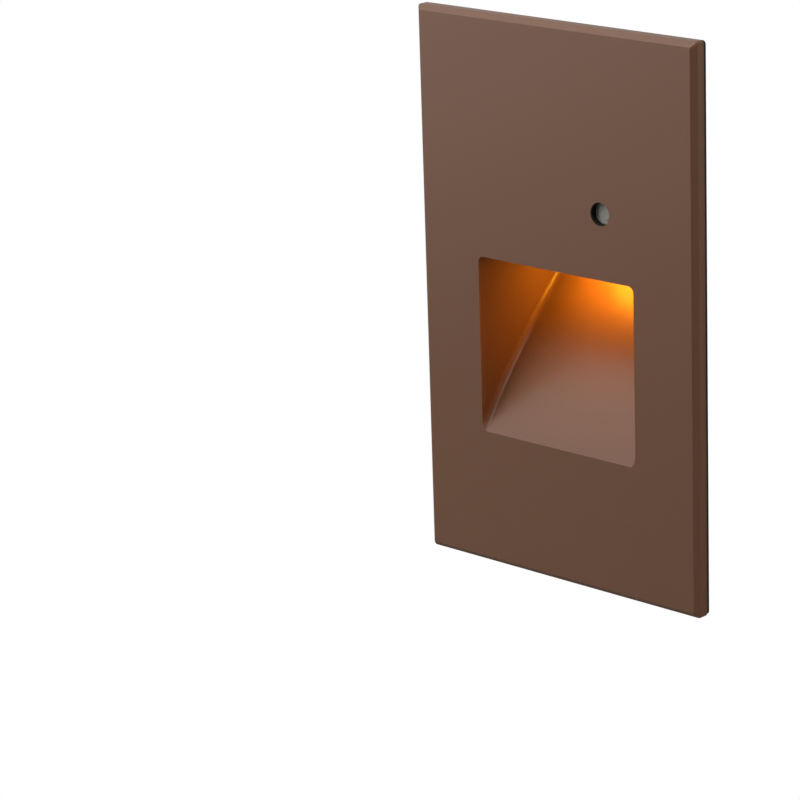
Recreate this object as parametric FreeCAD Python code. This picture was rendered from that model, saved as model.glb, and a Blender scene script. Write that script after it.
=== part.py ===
import FreeCAD, Part
import math
import os

from FreeCAD import Vector

# Recessed step light for a single-gang wall box, all sizes in millimetres.
# The origin lies on the wall plane, midway between the two box screws.
# +Z is up, the face looks along -Y and the body goes into the wall along +Y.

# --- Wall plate -----------------------------------------------------------------
plate_width = 79.4
plate_height = 127.0
plate_thickness = 3.2
face_wall = 1.3             # metal left in front of the hollow back
rim_width = 4.8             # solid rim round the hollow back
edge_bevel = 1.2            # 45 degree bevel round the front edge
plate_corner_r = 0.8
bevel_corner_r = 0.4
recess_corner_r = 2.5
rib_thickness = 1.5
rib_bracket_gap = 0.3       # stiffening ribs to the front of the bracket
upright_rib_x = 12.0
level_rib_spacing = 20.0
level_rib_count = 3
gasket_thickness = 0.9
gasket_inset = 0.2

# --- Light pocket ---------------------------------------------------------------
pocket_width = 45.0
pocket_height = 40.8
pocket_top = 8.5            # height of the ceiling above the origin
pocket_depth = 31.0         # face to back wall
ramp_run = 35.5             # depth at which the ramp would meet the ceiling
ramp_crown = 1.75           # rise of the ramp above its own chord
pocket_draft = 2.0          # degrees, each side wall
pocket_fillet = 1.5
casting_wall = 1.5
outer_fillet = 2.6

# --- Compartment above the pocket -----------------------------------------------
compartment_depth = 37.0    # face to the rear cover's joint
ceiling_wall = 2.2
cavity_height = 18.7
cover_depth = 9.0
cover_wall = 1.6
cover_gasket_thickness = 0.5
cover_screw_inset = 4.4
cover_post_r = 2.6
cover_post_length = 6.0
counterbore_depth = 3.0

# --- Lens and light source ------------------------------------------------------
lens_setback = 23.0         # face to the middle of the lens
lens_width = 11.6
lens_height = 2.3
lens_clearance = 0.2
lens_corner_r = 2.0
lens_flange = 1.6
lens_flange_height = 0.8
lens_gasket_thickness = 0.5
led_board_length = 39.2
led_board_width = 14.6
led_board_thickness = 1.6
led_post_height = 2.3
led_post_r = 2.5
lens_post_gap = 0.6         # lens flange to the posts of the light board
led_screw_edge = 3.1        # end of the light board to its screws
led_size = 3.0
led_height = 0.7
led_count = 3
led_spacing = 7.0
spreader_thickness = 2.0
spreader_notch = 9.0
header_width = 2.5
header_length = 7.6
header_height = 2.5
header_pin = 0.64
header_pin_hole_r = 0.55
header_pin_tail = 1.0

# --- Driver board ---------------------------------------------------------------
driver_post_height = 9.6
driver_post_r = 2.6
driver_board_side_gap = 0.66  # back corner of the board to the side wall
driver_board_thickness = 1.2
driver_board_setback = 10.3  # face to the board's front edge
driver_board_rear_gap = 1.6
driver_screw_x = 17.9
driver_screw_edge = 2.7      # front edge of the board to its screws
rail_width = 1.9
rail_height = 1.6
lead_hole_r = 0.8
lead_hole_pitch = 3.5

# --- Components on the driver board, each placed by its middle -------------------
capacitor_r = 3.15
capacitor_length = 12.0
capacitor_x = -9.5
capacitor_setback = 16.2
choke_x = 6.0
choke_pin_gap = 4.25         # middle of the choke to the link pins
choke_flange_r = 4.0
choke_core_r = 2.0
choke_height = 6.2
choke_flange_height = 1.2
choke_winding_r = 3.5
rectifier_x = -15.0
rectifier_setback = 22.5
rectifier_size = (4.8, 6.4, 2.5)
fuse_x = -8.0
fuse_setback = 27.4
fuse_r = 3.2
fuse_height = 6.4
varistor_x = -1.6
varistor_setback = 24.0
varistor_r = 3.2
varistor_thickness = 3.4
chip_x = 6.6
chip_setback = 15.4
chip_size = (5.0, 4.0, 1.5)
chip_leg_width = 0.45
chip_leg_reach = 0.9
resistor_size = (1.6, 3.2, 0.6)
resistor_pitch = 2.4
resistor_rank = 4.2
resistor_count = 4
resistor_x = 14.2
resistor_setback = 18.6

# --- Screws ---------------------------------------------------------------------
screw_r = 1.25
screw_head_r = 2.2
screw_head_height = 1.5
screw_bite = 3.4
screw_clearance = 0.05
head_clearance = 0.3

# --- Daylight sensor ------------------------------------------------------------
sensor_x = 13.4
sensor_z = 23.2
sensor_bore_r = 2.65
sensor_lip = 0.3            # thin lip of the face that covers the sleeve's edge
sleeve_nose_wall = 0.3
sleeve_clearance = 0.05
sleeve_r = 4.1
sleeve_length = 6.2
sleeve_nose_gap = 0.05      # lip to the front edge of the sleeve
sensor_boss_wall = 1.1
sensor_boss_length = 4.6
window_setback = 1.5
window_thickness = 1.8
window_edge_r = 0.3
window_groove_r = 1.8
window_groove_depth = 0.15
seal_thickness = 0.5
sensor_r = 2.5
sensor_length = 5.4
sensor_flange_r = 2.9
sensor_flange_height = 1.0
leg_pitch = 2.54
leg_r = 0.25
leg_reach = 3.2
leg_tail = 1.6

# --- Bracket on the wall box ----------------------------------------------------
box_screw_spacing = 83.34
box_screw_hole_r = 2.1
box_screw_slot = 6.5
bracket_thickness = 1.0
bracket_rail = 3.8
bracket_end = 10.3
bracket_corner_r = 4.0
window_corner_r = 2.0
window_side_gap = 1.2
window_lip_gap = 1.7
wall_hole_r = 1.7           # holes for fixing the bracket straight to a wall
wall_hole_inset = 4.5
seat_pad_width = 8.0
seat_pad_height = 4.0
seat_pad_x = 20.0

# --- Sprung latches -------------------------------------------------------------
latch_room = 4.5            # body to the edge of the bracket's window
latch_half_width = 14.0
latch_sheet = 0.8
latch_pivot_y = 16.0
latch_pivot_drop = 2.6
latch_pivot_clearance = 0.05
latch_peak_y = 1.5
latch_peak_rise = 1.15
latch_tip_y = -0.25
latch_tip_drop = 1.5
latch_bend_r = 0.5
eye_slit = 0.25             # left open where the rolled eye meets its arm
eye_slit_turn = 68.0        # degrees from where the arm leaves the eye
fork_half_gap = 6.5
fork_depth = 6.0
pin_r = 0.8
pin_fit = 0.02
pin_head_r = 1.3
pin_head_height = 0.6
lug_thickness = 2.0
lug_r = 1.9
lug_gap = 0.3
lug_foot = 4.5
rib_half_width = 3.5
rib_reach = 9.0
coil_half_room = 3.2
coil_front_room = 5.0
spring_wire_r = 0.225
spring_r = 1.2
spring_pitch = 0.56
spring_turns = 3
spring_leg = 6.4
spring_clearance = 0.18

# --- Lead gland and ground screw ------------------------------------------------
gland_z = 19.0
gland_neck_r = 4.8
gland_clearance = 0.1
gland_flange_r = 6.8
gland_flange_height = 2.0
gland_lip_r = 5.8
gland_lip_height = 1.4
gland_hole_r = 1.3
gland_hole_circle = 2.5
collar_gap = 0.6
collar_wall = 1.2
collar_height = 1.0
ground_x = -9.0
ground_inset = 4.0
ground_post_r = 2.5
ground_post_height = 2.4
ground_head_r = 2.7

# --- Places worked out from the sizes above -------------------------------------
wall_y = 0.0
plate_back_y = wall_y - gasket_thickness
face_y = plate_back_y - plate_thickness
inner_face_y = face_y + face_wall
bracket_front_y = wall_y - bracket_thickness
body_end_y = face_y + compartment_depth
cover_front_y = body_end_y + cover_gasket_thickness
cover_back_y = cover_front_y + cover_depth
lens_y = face_y + lens_setback

pocket_bottom = pocket_top - pocket_height
floor_z = pocket_top + ceiling_wall
cavity_top = floor_z + cavity_height
body_top = cavity_top + casting_wall
window_top = body_top + latch_room
window_bottom = pocket_bottom - casting_wall - window_lip_gap
pivot_z = window_top - latch_pivot_drop

draft_slope = math.tan(math.radians(pocket_draft))
lens_top = floor_z + lens_gasket_thickness + lens_flange_height
led_screw_x = led_board_length / 2 - led_screw_edge
lens_length = 2 * (led_screw_x - led_post_r - lens_post_gap - lens_flange)
led_board_z = floor_z + led_post_height
spreader_z = led_board_z + led_board_thickness
driver_z = floor_z + driver_post_height
driver_top = driver_z + driver_board_thickness
driver_front_y = face_y + driver_board_setback
driver_back_y = body_end_y - driver_board_rear_gap
driver_screw_y = driver_front_y + driver_screw_edge
board_run = driver_back_y - face_y
driver_board_width = pocket_width - 2 * (board_run * draft_slope + driver_board_side_gap)
outer_half_width = pocket_width / 2 + casting_wall
bracket_half_width = outer_half_width + window_side_gap + bracket_rail
bracket_half_height = box_screw_spacing / 2 + bracket_end
lug_inner_x = latch_half_width + lug_gap
lug_outer_x = lug_inner_x + lug_thickness


# --- Building blocks ------------------------------------------------------------
def block(x_range, y_range, z_range):
    """Box between two values on each axis."""
    size = [span[1] - span[0] for span in (x_range, y_range, z_range)]
    return Part.makeBox(*size, Vector(x_range[0], y_range[0], z_range[0]))


def rod(radius, start, end):
    """Round rod from one point to another."""
    run = end - start
    return Part.makeCylinder(radius, run.Length, start, run)


def rounded_wire(half_x, low_z, high_z, radius, y):
    """Rounded rectangle in the plane of the wall, at depth y."""
    r = radius
    corners = [(half_x, low_z, 270), (half_x, high_z, 0),
               (-half_x, high_z, 90), (-half_x, low_z, 180)]
    edges = []
    joints = []
    for x, z, angle in corners:
        cx = math.copysign(abs(x) - r, x)
        cz = z + r if z == low_z else z - r
        spots = []
        for turn in (0, 45, 90):
            a = math.radians(angle + turn)
            spots.append(Vector(cx + r * math.cos(a), y, cz + r * math.sin(a)))
        joints.append(spots)
    for i, spots in enumerate(joints):
        edges.append(Part.Arc(*spots).toShape())
        edges.append(Part.makeLine(spots[2], joints[(i + 1) % 4][0]))
    return Part.Wire(edges)


def rounded_slab(half_x, low_z, high_z, radius, y_range):
    """Rounded rectangle in the plane of the wall, extruded between two depths."""
    face = Part.Face(rounded_wire(half_x, low_z, high_z, radius, y_range[0]))
    return face.extrude(Vector(0, y_range[1] - y_range[0], 0))


def rounded_tile(half_x, centre_y, half_y, radius, z_range):
    """Rounded rectangle lying flat, extruded between two heights."""
    tile = block((-half_x, half_x), (centre_y - half_y, centre_y + half_y), z_range)
    return tile.makeFillet(radius, edges_along(tile, "Z"))


def edges_along(shape, axis):
    """Straight edges of a shape that run along one axis."""
    found = []
    for edge in shape.Edges:
        box = edge.BoundBox
        spans = {"X": box.XLength, "Y": box.YLength, "Z": box.ZLength}
        if spans.pop(axis) > 0.01 and max(spans.values()) < 0.001:
            found.append(edge)
    return found


def side_profile(points, x_range):
    """Closed outline of (y, z) points extruded along X."""
    spots = [Vector(x_range[0], y, z) for y, z in points]
    face = Part.Face(Part.makePolygon(spots + spots[:1]))
    return face.extrude(Vector(x_range[1] - x_range[0], 0, 0))


def joined(shapes):
    """One clean solid from shapes that overlap."""
    return shapes[0].fuse(shapes[1:]).removeSplitter()


def both_sides(shape):
    """A shape and its mirror image in the middle plane."""
    return [shape, shape.mirror(Vector(0, 0, 0), Vector(1, 0, 0))]


def flipped(shape):
    """The lower twin of a piece made for the top latch."""
    twin = shape.mirror(Vector(0, 0, 0), Vector(0, 0, 1))
    twin.translate(Vector(0, 0, window_top + window_bottom))
    return twin


def save(node, shapes):
    """Write one node, as one solid or a group of separate ones."""
    shape = shapes[0] if len(shapes) == 1 else Part.makeCompound(shapes)
    shape.exportStep("parts/" + node + ".step")


# --- The ramp, one arc seen from the side ---------------------------------------
def ramp_height(depth, offset):
    """Height of the ramp at a depth behind the face, moved back by a wall."""
    run, rise = ramp_run, pocket_height
    chord = math.hypot(run, rise)
    radius = (chord ** 2 / 4 + ramp_crown ** 2) / (2 * ramp_crown)
    back = radius - ramp_crown
    centre_depth = run / 2 + back * rise / chord
    centre_z = pocket_bottom + rise / 2 - back * run / chord
    reach = radius - offset
    return centre_z + math.sqrt(reach ** 2 - (depth - centre_depth) ** 2)


def scoop(front_depth, back_depth, offset, top_z):
    """Solid between the ramp and a flat top, wide enough to be trimmed."""
    half = plate_width / 2
    spots = []
    for depth in (front_depth, (front_depth + back_depth) / 2, back_depth):
        spots.append(Vector(-half, face_y + depth, ramp_height(depth, offset)))
    top_back = Vector(-half, face_y + back_depth, top_z)
    top_front = Vector(-half, face_y + front_depth, top_z)
    edges = [Part.Arc(*spots).toShape()]
    for start, end in ((spots[2], top_back), (top_back, top_front), (top_front, spots[0])):
        edges.append(Part.makeLine(start, end))
    return Part.Face(Part.Wire(edges)).extrude(Vector(2 * half, 0, 0))


def half_width_at(y, wall):
    """Half width of the drafted body at a depth, less a wall."""
    return outer_half_width - wall - (y - face_y) * draft_slope


def drafted_prism(wall, y_range):
    """Tall prism whose sides narrow towards the back by the draft."""
    corners = []
    for side, y in ((-1, y_range[0]), (1, y_range[0]), (1, y_range[1]), (-1, y_range[1])):
        corners.append(Vector(side * half_width_at(y, wall), y, -plate_height))
    face = Part.Face(Part.makePolygon(corners + corners[:1]))
    return face.extrude(Vector(0, 0, 2 * plate_height))


def side_edges(shape, least_run):
    """Long edges of a drafted body that run from front to back."""
    found = []
    for edge in shape.Edges:
        box = edge.BoundBox
        if box.YLength > least_run and abs(box.Center.x) > pocket_width / 4:
            found.append(edge)
    return found


def pocket_space():
    """The hollow that the light leaves through."""
    lead = 1.0
    space = scoop(-lead, pocket_depth, 0.0, pocket_top)
    trim = drafted_prism(casting_wall, (face_y - 2 * lead, body_end_y))
    space = space.common(trim)
    return space.makeFillet(pocket_fillet, side_edges(space, pocket_depth / 2))


# --- Casting --------------------------------------------------------------------
def plate_shell():
    """Bevelled plate with a hollow back."""
    half_x, half_z = plate_width / 2, plate_height / 2
    shoulder_y = face_y + edge_bevel
    rim = rounded_slab(half_x, -half_z, half_z, plate_corner_r, (shoulder_y, plate_back_y))
    base = rounded_wire(half_x, -half_z, half_z, plate_corner_r, shoulder_y)
    front_z = half_z - edge_bevel
    front = rounded_wire(half_x - edge_bevel, -front_z, front_z, bevel_corner_r, face_y)
    plate = joined([rim, Part.makeLoft([base, front], True, True)])
    hollow_z = half_z - rim_width
    hollow = rounded_slab(half_x - rim_width, -hollow_z, hollow_z, recess_corner_r,
                          (inner_face_y, wall_y))
    return plate.cut(hollow)


def plate_ribs():
    """Ribs that stiffen the hollow back, short of the bracket."""
    y_range = (inner_face_y - face_wall / 2, bracket_front_y - rib_bracket_gap)
    reach_x = plate_width / 2 - rim_width / 2
    reach_z = plate_height / 2 - rim_width / 2
    half = rib_thickness / 2
    ribs = both_sides(block((upright_rib_x - half, upright_rib_x + half), y_range, (-reach_z, reach_z)))
    for i in range(level_rib_count):
        z = (i - (level_rib_count - 1) / 2) * level_rib_spacing
        ribs.append(block((-reach_x, reach_x), y_range, (z - half, z + half)))
    return ribs


def rear_body():
    """Outside of the pocket and of the compartment above it."""
    start = face_wall / 2
    body = scoop(start, compartment_depth, casting_wall, body_top)
    body = body.common(drafted_prism(0.0, (face_y, body_end_y)))
    return body.makeFillet(outer_fillet, side_edges(body, pocket_depth / 2))


def compartment_space():
    """Hollow for the boards, open at the back."""
    space = block((-plate_width, plate_width), (inner_face_y, body_end_y + 1), (floor_z, cavity_top))
    return space.common(drafted_prism(casting_wall, (inner_face_y, body_end_y + 1)))


def board_rails():
    """Ledges that carry the driver board along the side walls."""
    ledge = block((driver_board_width / 2 - rail_width, plate_width),
                  (driver_screw_y, driver_back_y), (driver_z - rail_height, driver_z))
    ledge = ledge.common(drafted_prism(casting_wall / 2, (face_y, body_end_y)))
    return both_sides(ledge)


def cover_screw_spots():
    """The four corners at which the rear cover is screwed on."""
    half = half_width_at(body_end_y, 0.0) - cover_screw_inset
    low = body_low_z() + cover_screw_inset + cover_post_r / 2
    high = body_top - cover_screw_inset
    return [(side * half, z) for side in (-1, 1) for z in (low, high)]


def body_low_z():
    """Lowest point of the body where the rear cover meets it."""
    return ramp_height(compartment_depth, casting_wall)


def cover_posts():
    """Screw posts in the corners of the compartment."""
    front = Vector(0, body_end_y - cover_post_length, 0)
    posts = []
    for x, z in cover_screw_spots():
        outward = math.copysign(cover_screw_inset, x)
        start = Vector(x, front.y, z)
        post = rod(cover_post_r, start, Vector(x, body_end_y, z))
        x_range = sorted((x, x + outward))
        web = block(x_range, (front.y, body_end_y), (z - cover_post_r, z + cover_post_r))
        posts += [post, web.common(drafted_prism(casting_wall / 2, (face_y, body_end_y)))]
    return posts


def standing_posts():
    """Posts that rise from the compartment's floor."""
    root = floor_z - ceiling_wall / 2
    posts = []
    for side in (-1, 1):
        x = side * led_screw_x
        posts.append(rod(led_post_r, Vector(x, lens_y, root), Vector(x, lens_y, led_board_z)))
        x = side * driver_screw_x
        posts.append(rod(driver_post_r, Vector(x, driver_screw_y, root),
                         Vector(x, driver_screw_y, driver_z)))
    ground_y = body_end_y - ground_inset
    top = Vector(ground_x, ground_y, floor_z + ground_post_height)
    posts.append(rod(ground_post_r, Vector(ground_x, ground_y, root), top))
    return posts


def screw_pilots():
    """Holes in the casting that the screws bite into."""
    r = screw_r + screw_clearance
    spare = screw_clearance
    holes = []
    for x, z in cover_screw_spots():
        start = Vector(x, body_end_y - screw_bite - spare, z)
        holes.append(rod(r, start, Vector(x, body_end_y + 1, z)))
    for side in (-1, 1):
        for x, y, top in ((led_screw_x, lens_y, led_board_z),
                          (driver_screw_x, driver_screw_y, driver_z)):
            start = Vector(side * x, y, top - screw_bite - spare)
            holes.append(rod(r, start, Vector(side * x, y, top + 1)))
    ground_y = body_end_y - ground_inset
    top = floor_z + ground_post_height
    holes.append(rod(r, Vector(ground_x, ground_y, top - screw_bite - spare),
                     Vector(ground_x, ground_y, top + 1)))
    return holes


def sensor_boss():
    """Ring behind the face that holds the sensor's sleeve."""
    r = sleeve_r + sleeve_clearance + sensor_boss_wall
    start = Vector(sensor_x, inner_face_y - face_wall / 2, sensor_z)
    return rod(r, start, Vector(sensor_x, inner_face_y + sensor_boss_length, sensor_z))


def sensor_bores():
    """Stepped bore for the sleeve, behind a thin lip of the face."""
    back = on_sensor_axis(inner_face_y + sensor_boss_length + 1)
    mouth = rod(sensor_bore_r, on_sensor_axis(face_y - 1), back)
    nose_r = sensor_bore_r + sleeve_nose_wall + sleeve_clearance
    nose = rod(nose_r, on_sensor_axis(face_y + sensor_lip), back)
    return [mouth, nose, rod(sleeve_r + sleeve_clearance, on_sensor_axis(inner_face_y), back)]


def lens_opening():
    """Hole in the pocket's ceiling that the lens fills."""
    return rounded_tile(lens_length / 2 + lens_clearance, lens_y, lens_width / 2 + lens_clearance,
                        lens_corner_r, (pocket_top - 1, floor_z + 1))


def seat_pads():
    """Four pads that bear on the front of the bracket."""
    middle = (window_top + bracket_half_height) / 2
    pads = []
    for z in (middle, -middle):
        pad = block((seat_pad_x - seat_pad_width / 2, seat_pad_x + seat_pad_width / 2),
                    (inner_face_y - face_wall / 2, bracket_front_y),
                    (z - seat_pad_height / 2, z + seat_pad_height / 2))
        pads += both_sides(pad)
    return pads


def lug_outline(foot):
    """Side outline of a lug: round at the pin, spreading to its foot."""
    pivot = Vector(0, latch_pivot_y, pivot_z)
    tip = Part.Face(Part.Wire(Part.makeCircle(lug_r, pivot, Vector(1, 0, 0))))
    spots = [Vector(0, y, z) for y, z in foot]
    web = Part.Face(Part.makePolygon(spots + spots[:1]))
    return [tip, web]


def lug_pair(foot):
    """A lug each side of a latch, made for the top."""
    parts = []
    for face in lug_outline(foot):
        solid = face.extrude(Vector(lug_thickness, 0, 0))
        solid.translate(Vector(lug_inner_x, 0, 0))
        parts += both_sides(solid)
    return parts


def upper_lugs():
    """Lugs on the flat top of the body."""
    foot = [(latch_pivot_y - lug_r, pivot_z), (latch_pivot_y + lug_r, pivot_z),
            (latch_pivot_y + lug_foot, body_top - casting_wall / 2),
            (latch_pivot_y - lug_foot, body_top - casting_wall / 2)]
    return lug_pair(foot)


def ramp_foot(y):
    """Height inside the ramp's wall at y, as seen by the flipped pieces."""
    return window_top + window_bottom - ramp_height(y - face_y, casting_wall / 2)


def lower_lugs():
    """Long lugs that hang from the back of the ramp."""
    near, far = latch_pivot_y - 1.6 * lug_foot, latch_pivot_y + lug_foot
    foot = [(latch_pivot_y - lug_r, pivot_z), (latch_pivot_y + lug_r, pivot_z),
            (far, ramp_foot(far)), (near, ramp_foot(near))]
    return [flipped(part) for part in lug_pair(foot)]


def lower_rib():
    """Middle rib under the ramp that the lower spring bears on."""
    near, far = latch_pivot_y - rib_reach, latch_pivot_y + lug_r
    seat = window_top - latch_room
    foot = [(near, seat), (far, seat),
            (far + lug_r, ramp_foot(far + lug_r)), (near, ramp_foot(near))]
    return flipped(side_profile(foot, (-rib_half_width, rib_half_width)))


def pin_holes():
    """Holes for both latch pins, right through their lugs."""
    reach = lug_outer_x + 1
    hole = rod(pin_r + pin_fit, Vector(-reach, latch_pivot_y, pivot_z),
               Vector(reach, latch_pivot_y, pivot_z))
    return [hole, flipped(hole)]


def face_plate():
    """Casting: plate, light pocket and compartment in one piece."""
    outside = [plate_shell(), rear_body(), lower_rib()] + plate_ribs() + seat_pads()
    outside += upper_lugs() + lower_lugs()
    body = joined(outside).cut([pocket_space(), compartment_space()])
    body = joined([body, sensor_boss()] + board_rails() + cover_posts() + standing_posts())
    body = body.cut(screw_pilots() + sensor_bores() + pin_holes() + [lens_opening()])
    return body.removeSplitter()


# --- Seals, cover and gland -----------------------------------------------------
def wall_gasket():
    """Foam ring between the plate's rim and the wall."""
    half_x, half_z = plate_width / 2 - gasket_inset, plate_height / 2 - gasket_inset
    inner_x, inner_z = plate_width / 2 - rim_width, plate_height / 2 - rim_width
    span = (plate_back_y, wall_y)
    ring = rounded_slab(half_x, -half_z, half_z, plate_corner_r, span)
    return ring.cut(rounded_slab(inner_x, -inner_z, inner_z, recess_corner_r, span))


def cover_outline(inset, y_range):
    """Outline of the body's rear end, drawn in by an inset."""
    half = half_width_at(body_end_y, inset)
    return rounded_slab(half, body_low_z() + inset, body_top - inset, outer_fillet, y_range)


def cover_window(y_range):
    """Hollow inside the cover, in line with the compartment."""
    half = half_width_at(body_end_y, casting_wall)
    return rounded_slab(half, floor_z, cavity_top, lens_corner_r, y_range)


def cover_gasket():
    """Flat seal between the body and its rear cover."""
    span = (body_end_y, cover_front_y)
    ring = cover_outline(gasket_inset, span)
    opening = cover_window(span)
    for x, z in cover_screw_spots():
        opening = opening.cut(rod(cover_post_r, Vector(x, span[0], z), Vector(x, span[1], z)))
    ring = ring.cut(opening)
    for x, z in cover_screw_spots():
        ring = ring.cut(rod(screw_r + head_clearance, Vector(x, span[0], z), Vector(x, span[1], z)))
    return ring.Solids[0]


def rear_cover():
    """Shallow moulded cap over the open end of the compartment."""
    shell = cover_outline(0.0, (cover_front_y, cover_back_y))
    rear_edges = [e for e in shell.Edges if e.BoundBox.YMin > cover_back_y - 0.01]
    shell = shell.makeFillet(cover_wall / 2, rear_edges)
    hollow = cover_window((cover_front_y, cover_back_y - cover_wall))
    for x, z in cover_screw_spots():
        hollow = hollow.cut(rod(cover_post_r, Vector(x, cover_front_y, z), Vector(x, cover_back_y, z)))
    shell = shell.cut(hollow)
    for x, z in cover_screw_spots():
        front, back = Vector(x, cover_front_y, z), Vector(x, cover_back_y, z)
        seat = Vector(x, cover_back_y - counterbore_depth, z)
        shell = shell.cut([rod(screw_r + head_clearance, front, back),
                           rod(screw_head_r + head_clearance, seat, back)])
    neck = rod(gland_neck_r + gland_clearance, Vector(0, cover_front_y, gland_z),
               Vector(0, cover_back_y, gland_z))
    return joined([shell, gland_collar()]).cut(neck)


def gland_collar():
    """Raised ring on the cover that guards the gland's flange."""
    r = gland_flange_r + collar_gap
    root = Vector(0, cover_back_y - cover_wall / 2, gland_z)
    seat = Vector(0, cover_back_y, gland_z)
    top = seat + Vector(0, collar_height, 0)
    return rod(r + collar_wall, root, top).cut(rod(r, seat, top))


def lead_gland():
    """Rubber bush in the cover with a hole for each supply lead."""
    inner_y = cover_back_y - cover_wall
    outline = [(0, inner_y - gland_lip_height), (gland_lip_r, inner_y - gland_lip_height),
               (gland_lip_r, inner_y), (gland_neck_r, inner_y), (gland_neck_r, cover_back_y),
               (gland_flange_r, cover_back_y),
               (gland_flange_r - gland_flange_height / 2, cover_back_y + gland_flange_height),
               (0, cover_back_y + gland_flange_height)]
    spots = [Vector(r, y, gland_z) for r, y in outline]
    face = Part.Face(Part.makePolygon(spots + spots[:1]))
    bush = face.revolve(Vector(0, 0, gland_z), Vector(0, 1, 0), 360)
    for turn in (90, 210, 330):
        a = math.radians(turn)
        x, z = gland_hole_circle * math.cos(a), gland_z + gland_hole_circle * math.sin(a)
        bush = bush.cut(rod(gland_hole_r, Vector(x, inner_y - 2 * gland_lip_height, z),
                            Vector(x, cover_back_y + 2 * gland_flange_height, z)))
    return bush


def screw(seat, direction, grip, head_r=screw_head_r):
    """Pan-head screw: its head sits at the seat, its shank runs along direction."""
    tip = seat + direction * (grip + screw_bite)
    shank = rod(screw_r, seat, tip)
    head = rod(head_r, seat - direction * screw_head_height, seat)
    circles = [e for e in head.Edges if e.Curve.TypeId == "Part::GeomCircle"]
    top = [e for e in circles if (e.CenterOfMass - seat).dot(direction) < -screw_head_height / 2]
    head = head.makeFillet(screw_head_height / 2, top)
    slot_half = screw_head_height / 6
    across = block((-head_r, head_r), (-slot_half, slot_half),
                   (-screw_head_height / 3, screw_head_height))
    across.Placement = FreeCAD.Placement(seat - direction * screw_head_height,
                                         FreeCAD.Rotation(Vector(0, 0, 1), direction * -1))
    return head.cut(across).fuse(shank).removeSplitter()


def cover_screws():
    """Four screws that hold the rear cover."""
    seat_y = cover_back_y - counterbore_depth
    grip = seat_y - body_end_y
    return [screw(Vector(x, seat_y, z), Vector(0, -1, 0), grip) for x, z in cover_screw_spots()]


def ground_screw():
    """Screw for the ground lead, on its own post."""
    seat = Vector(ground_x, body_end_y - ground_inset, floor_z + ground_post_height)
    return screw(seat, Vector(0, 0, -1), 0.0, ground_head_r)


# --- Lens and light source ------------------------------------------------------
def light_lens():
    """Frosted lens with a flange that rests on its gasket."""
    flange_z = floor_z + lens_gasket_thickness
    neck = rounded_tile(lens_length / 2, lens_y, lens_width / 2, lens_corner_r,
                        (flange_z - lens_height, flange_z + lens_flange_height / 2))
    flange = rounded_tile(lens_length / 2 + lens_flange, lens_y, lens_width / 2 + lens_flange,
                          lens_corner_r, (flange_z, lens_top))
    return joined([neck, flange])


def lens_gasket():
    """Seal under the lens flange."""
    span = (floor_z, floor_z + lens_gasket_thickness)
    outer = rounded_tile(lens_length / 2 + lens_flange, lens_y, lens_width / 2 + lens_flange,
                         lens_corner_r, span)
    inner = rounded_tile(lens_length / 2 + lens_clearance, lens_y, lens_width / 2 + lens_clearance,
                         lens_corner_r, span)
    return outer.cut(inner)


def led_board_outline(z_range):
    """Board-shaped plate with clearance holes for its two screws."""
    plate = block((-led_board_length / 2, led_board_length / 2),
                  (lens_y - led_board_width / 2, lens_y + led_board_width / 2), z_range)
    plate = plate.makeFillet(edge_bevel, edges_along(plate, "Z"))
    for side in (-1, 1):
        x = side * led_screw_x
        plate = plate.cut(rod(screw_r + head_clearance, Vector(x, lens_y, z_range[0]),
                              Vector(x, lens_y, z_range[1])))
    return plate


def led_board():
    """Metal-core board that carries the light sources on its underside."""
    return led_board_outline((led_board_z, spreader_z))


def heat_spreader():
    """Aluminium plate that clamps the light board, notched for the header."""
    plate = led_board_outline((spreader_z, spreader_z + spreader_thickness))
    back = lens_y + led_board_width / 2
    notch = block((-spreader_notch / 2, spreader_notch / 2), (back - header_depth(), back + 1),
                  (spreader_z - 1, spreader_z + spreader_thickness + 1))
    return plate.cut(notch)


def led_chips():
    """Row of light sources that face down into the lens."""
    chips = []
    for i in range(led_count):
        x = (i - (led_count - 1) / 2) * led_spacing
        chips.append(block((x - led_size / 2, x + led_size / 2),
                           (lens_y - led_size / 2, lens_y + led_size / 2),
                           (led_board_z - led_height, led_board_z)))
    return chips


def led_screws():
    """Two screws through the spreader and the board into their posts."""
    seat_z = spreader_z + spreader_thickness
    grip = seat_z - led_board_z
    spots = [Vector(side * led_screw_x, lens_y, seat_z) for side in (-1, 1)]
    return [screw(spot, Vector(0, 0, -1), grip) for spot in spots]


def header_depth():
    """Depth of the notch that the board-to-board header stands in."""
    return header_width + 2 * head_clearance


def header_y():
    """Middle of the header, near the back edge of the light board."""
    return lens_y + led_board_width / 2 - header_depth() + head_clearance + header_width / 2


def link_pins():
    """Pins that carry current from the driver board to the light board."""
    half = header_pin / 2
    pins = []
    for side in (-1, 1):
        x, y = side * leg_pitch, header_y()
        pins.append(block((x - half, x + half), (y - half, y + half),
                          (spreader_z, driver_top + header_pin_tail)))
    return pins


def link_header():
    """Moulded block round the foot of the pins."""
    y = header_y()
    body = block((-header_length / 2, header_length / 2),
                 (y - header_width / 2, y + header_width / 2),
                 (spreader_z, spreader_z + header_height))
    return body.cut(link_pins())


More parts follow.
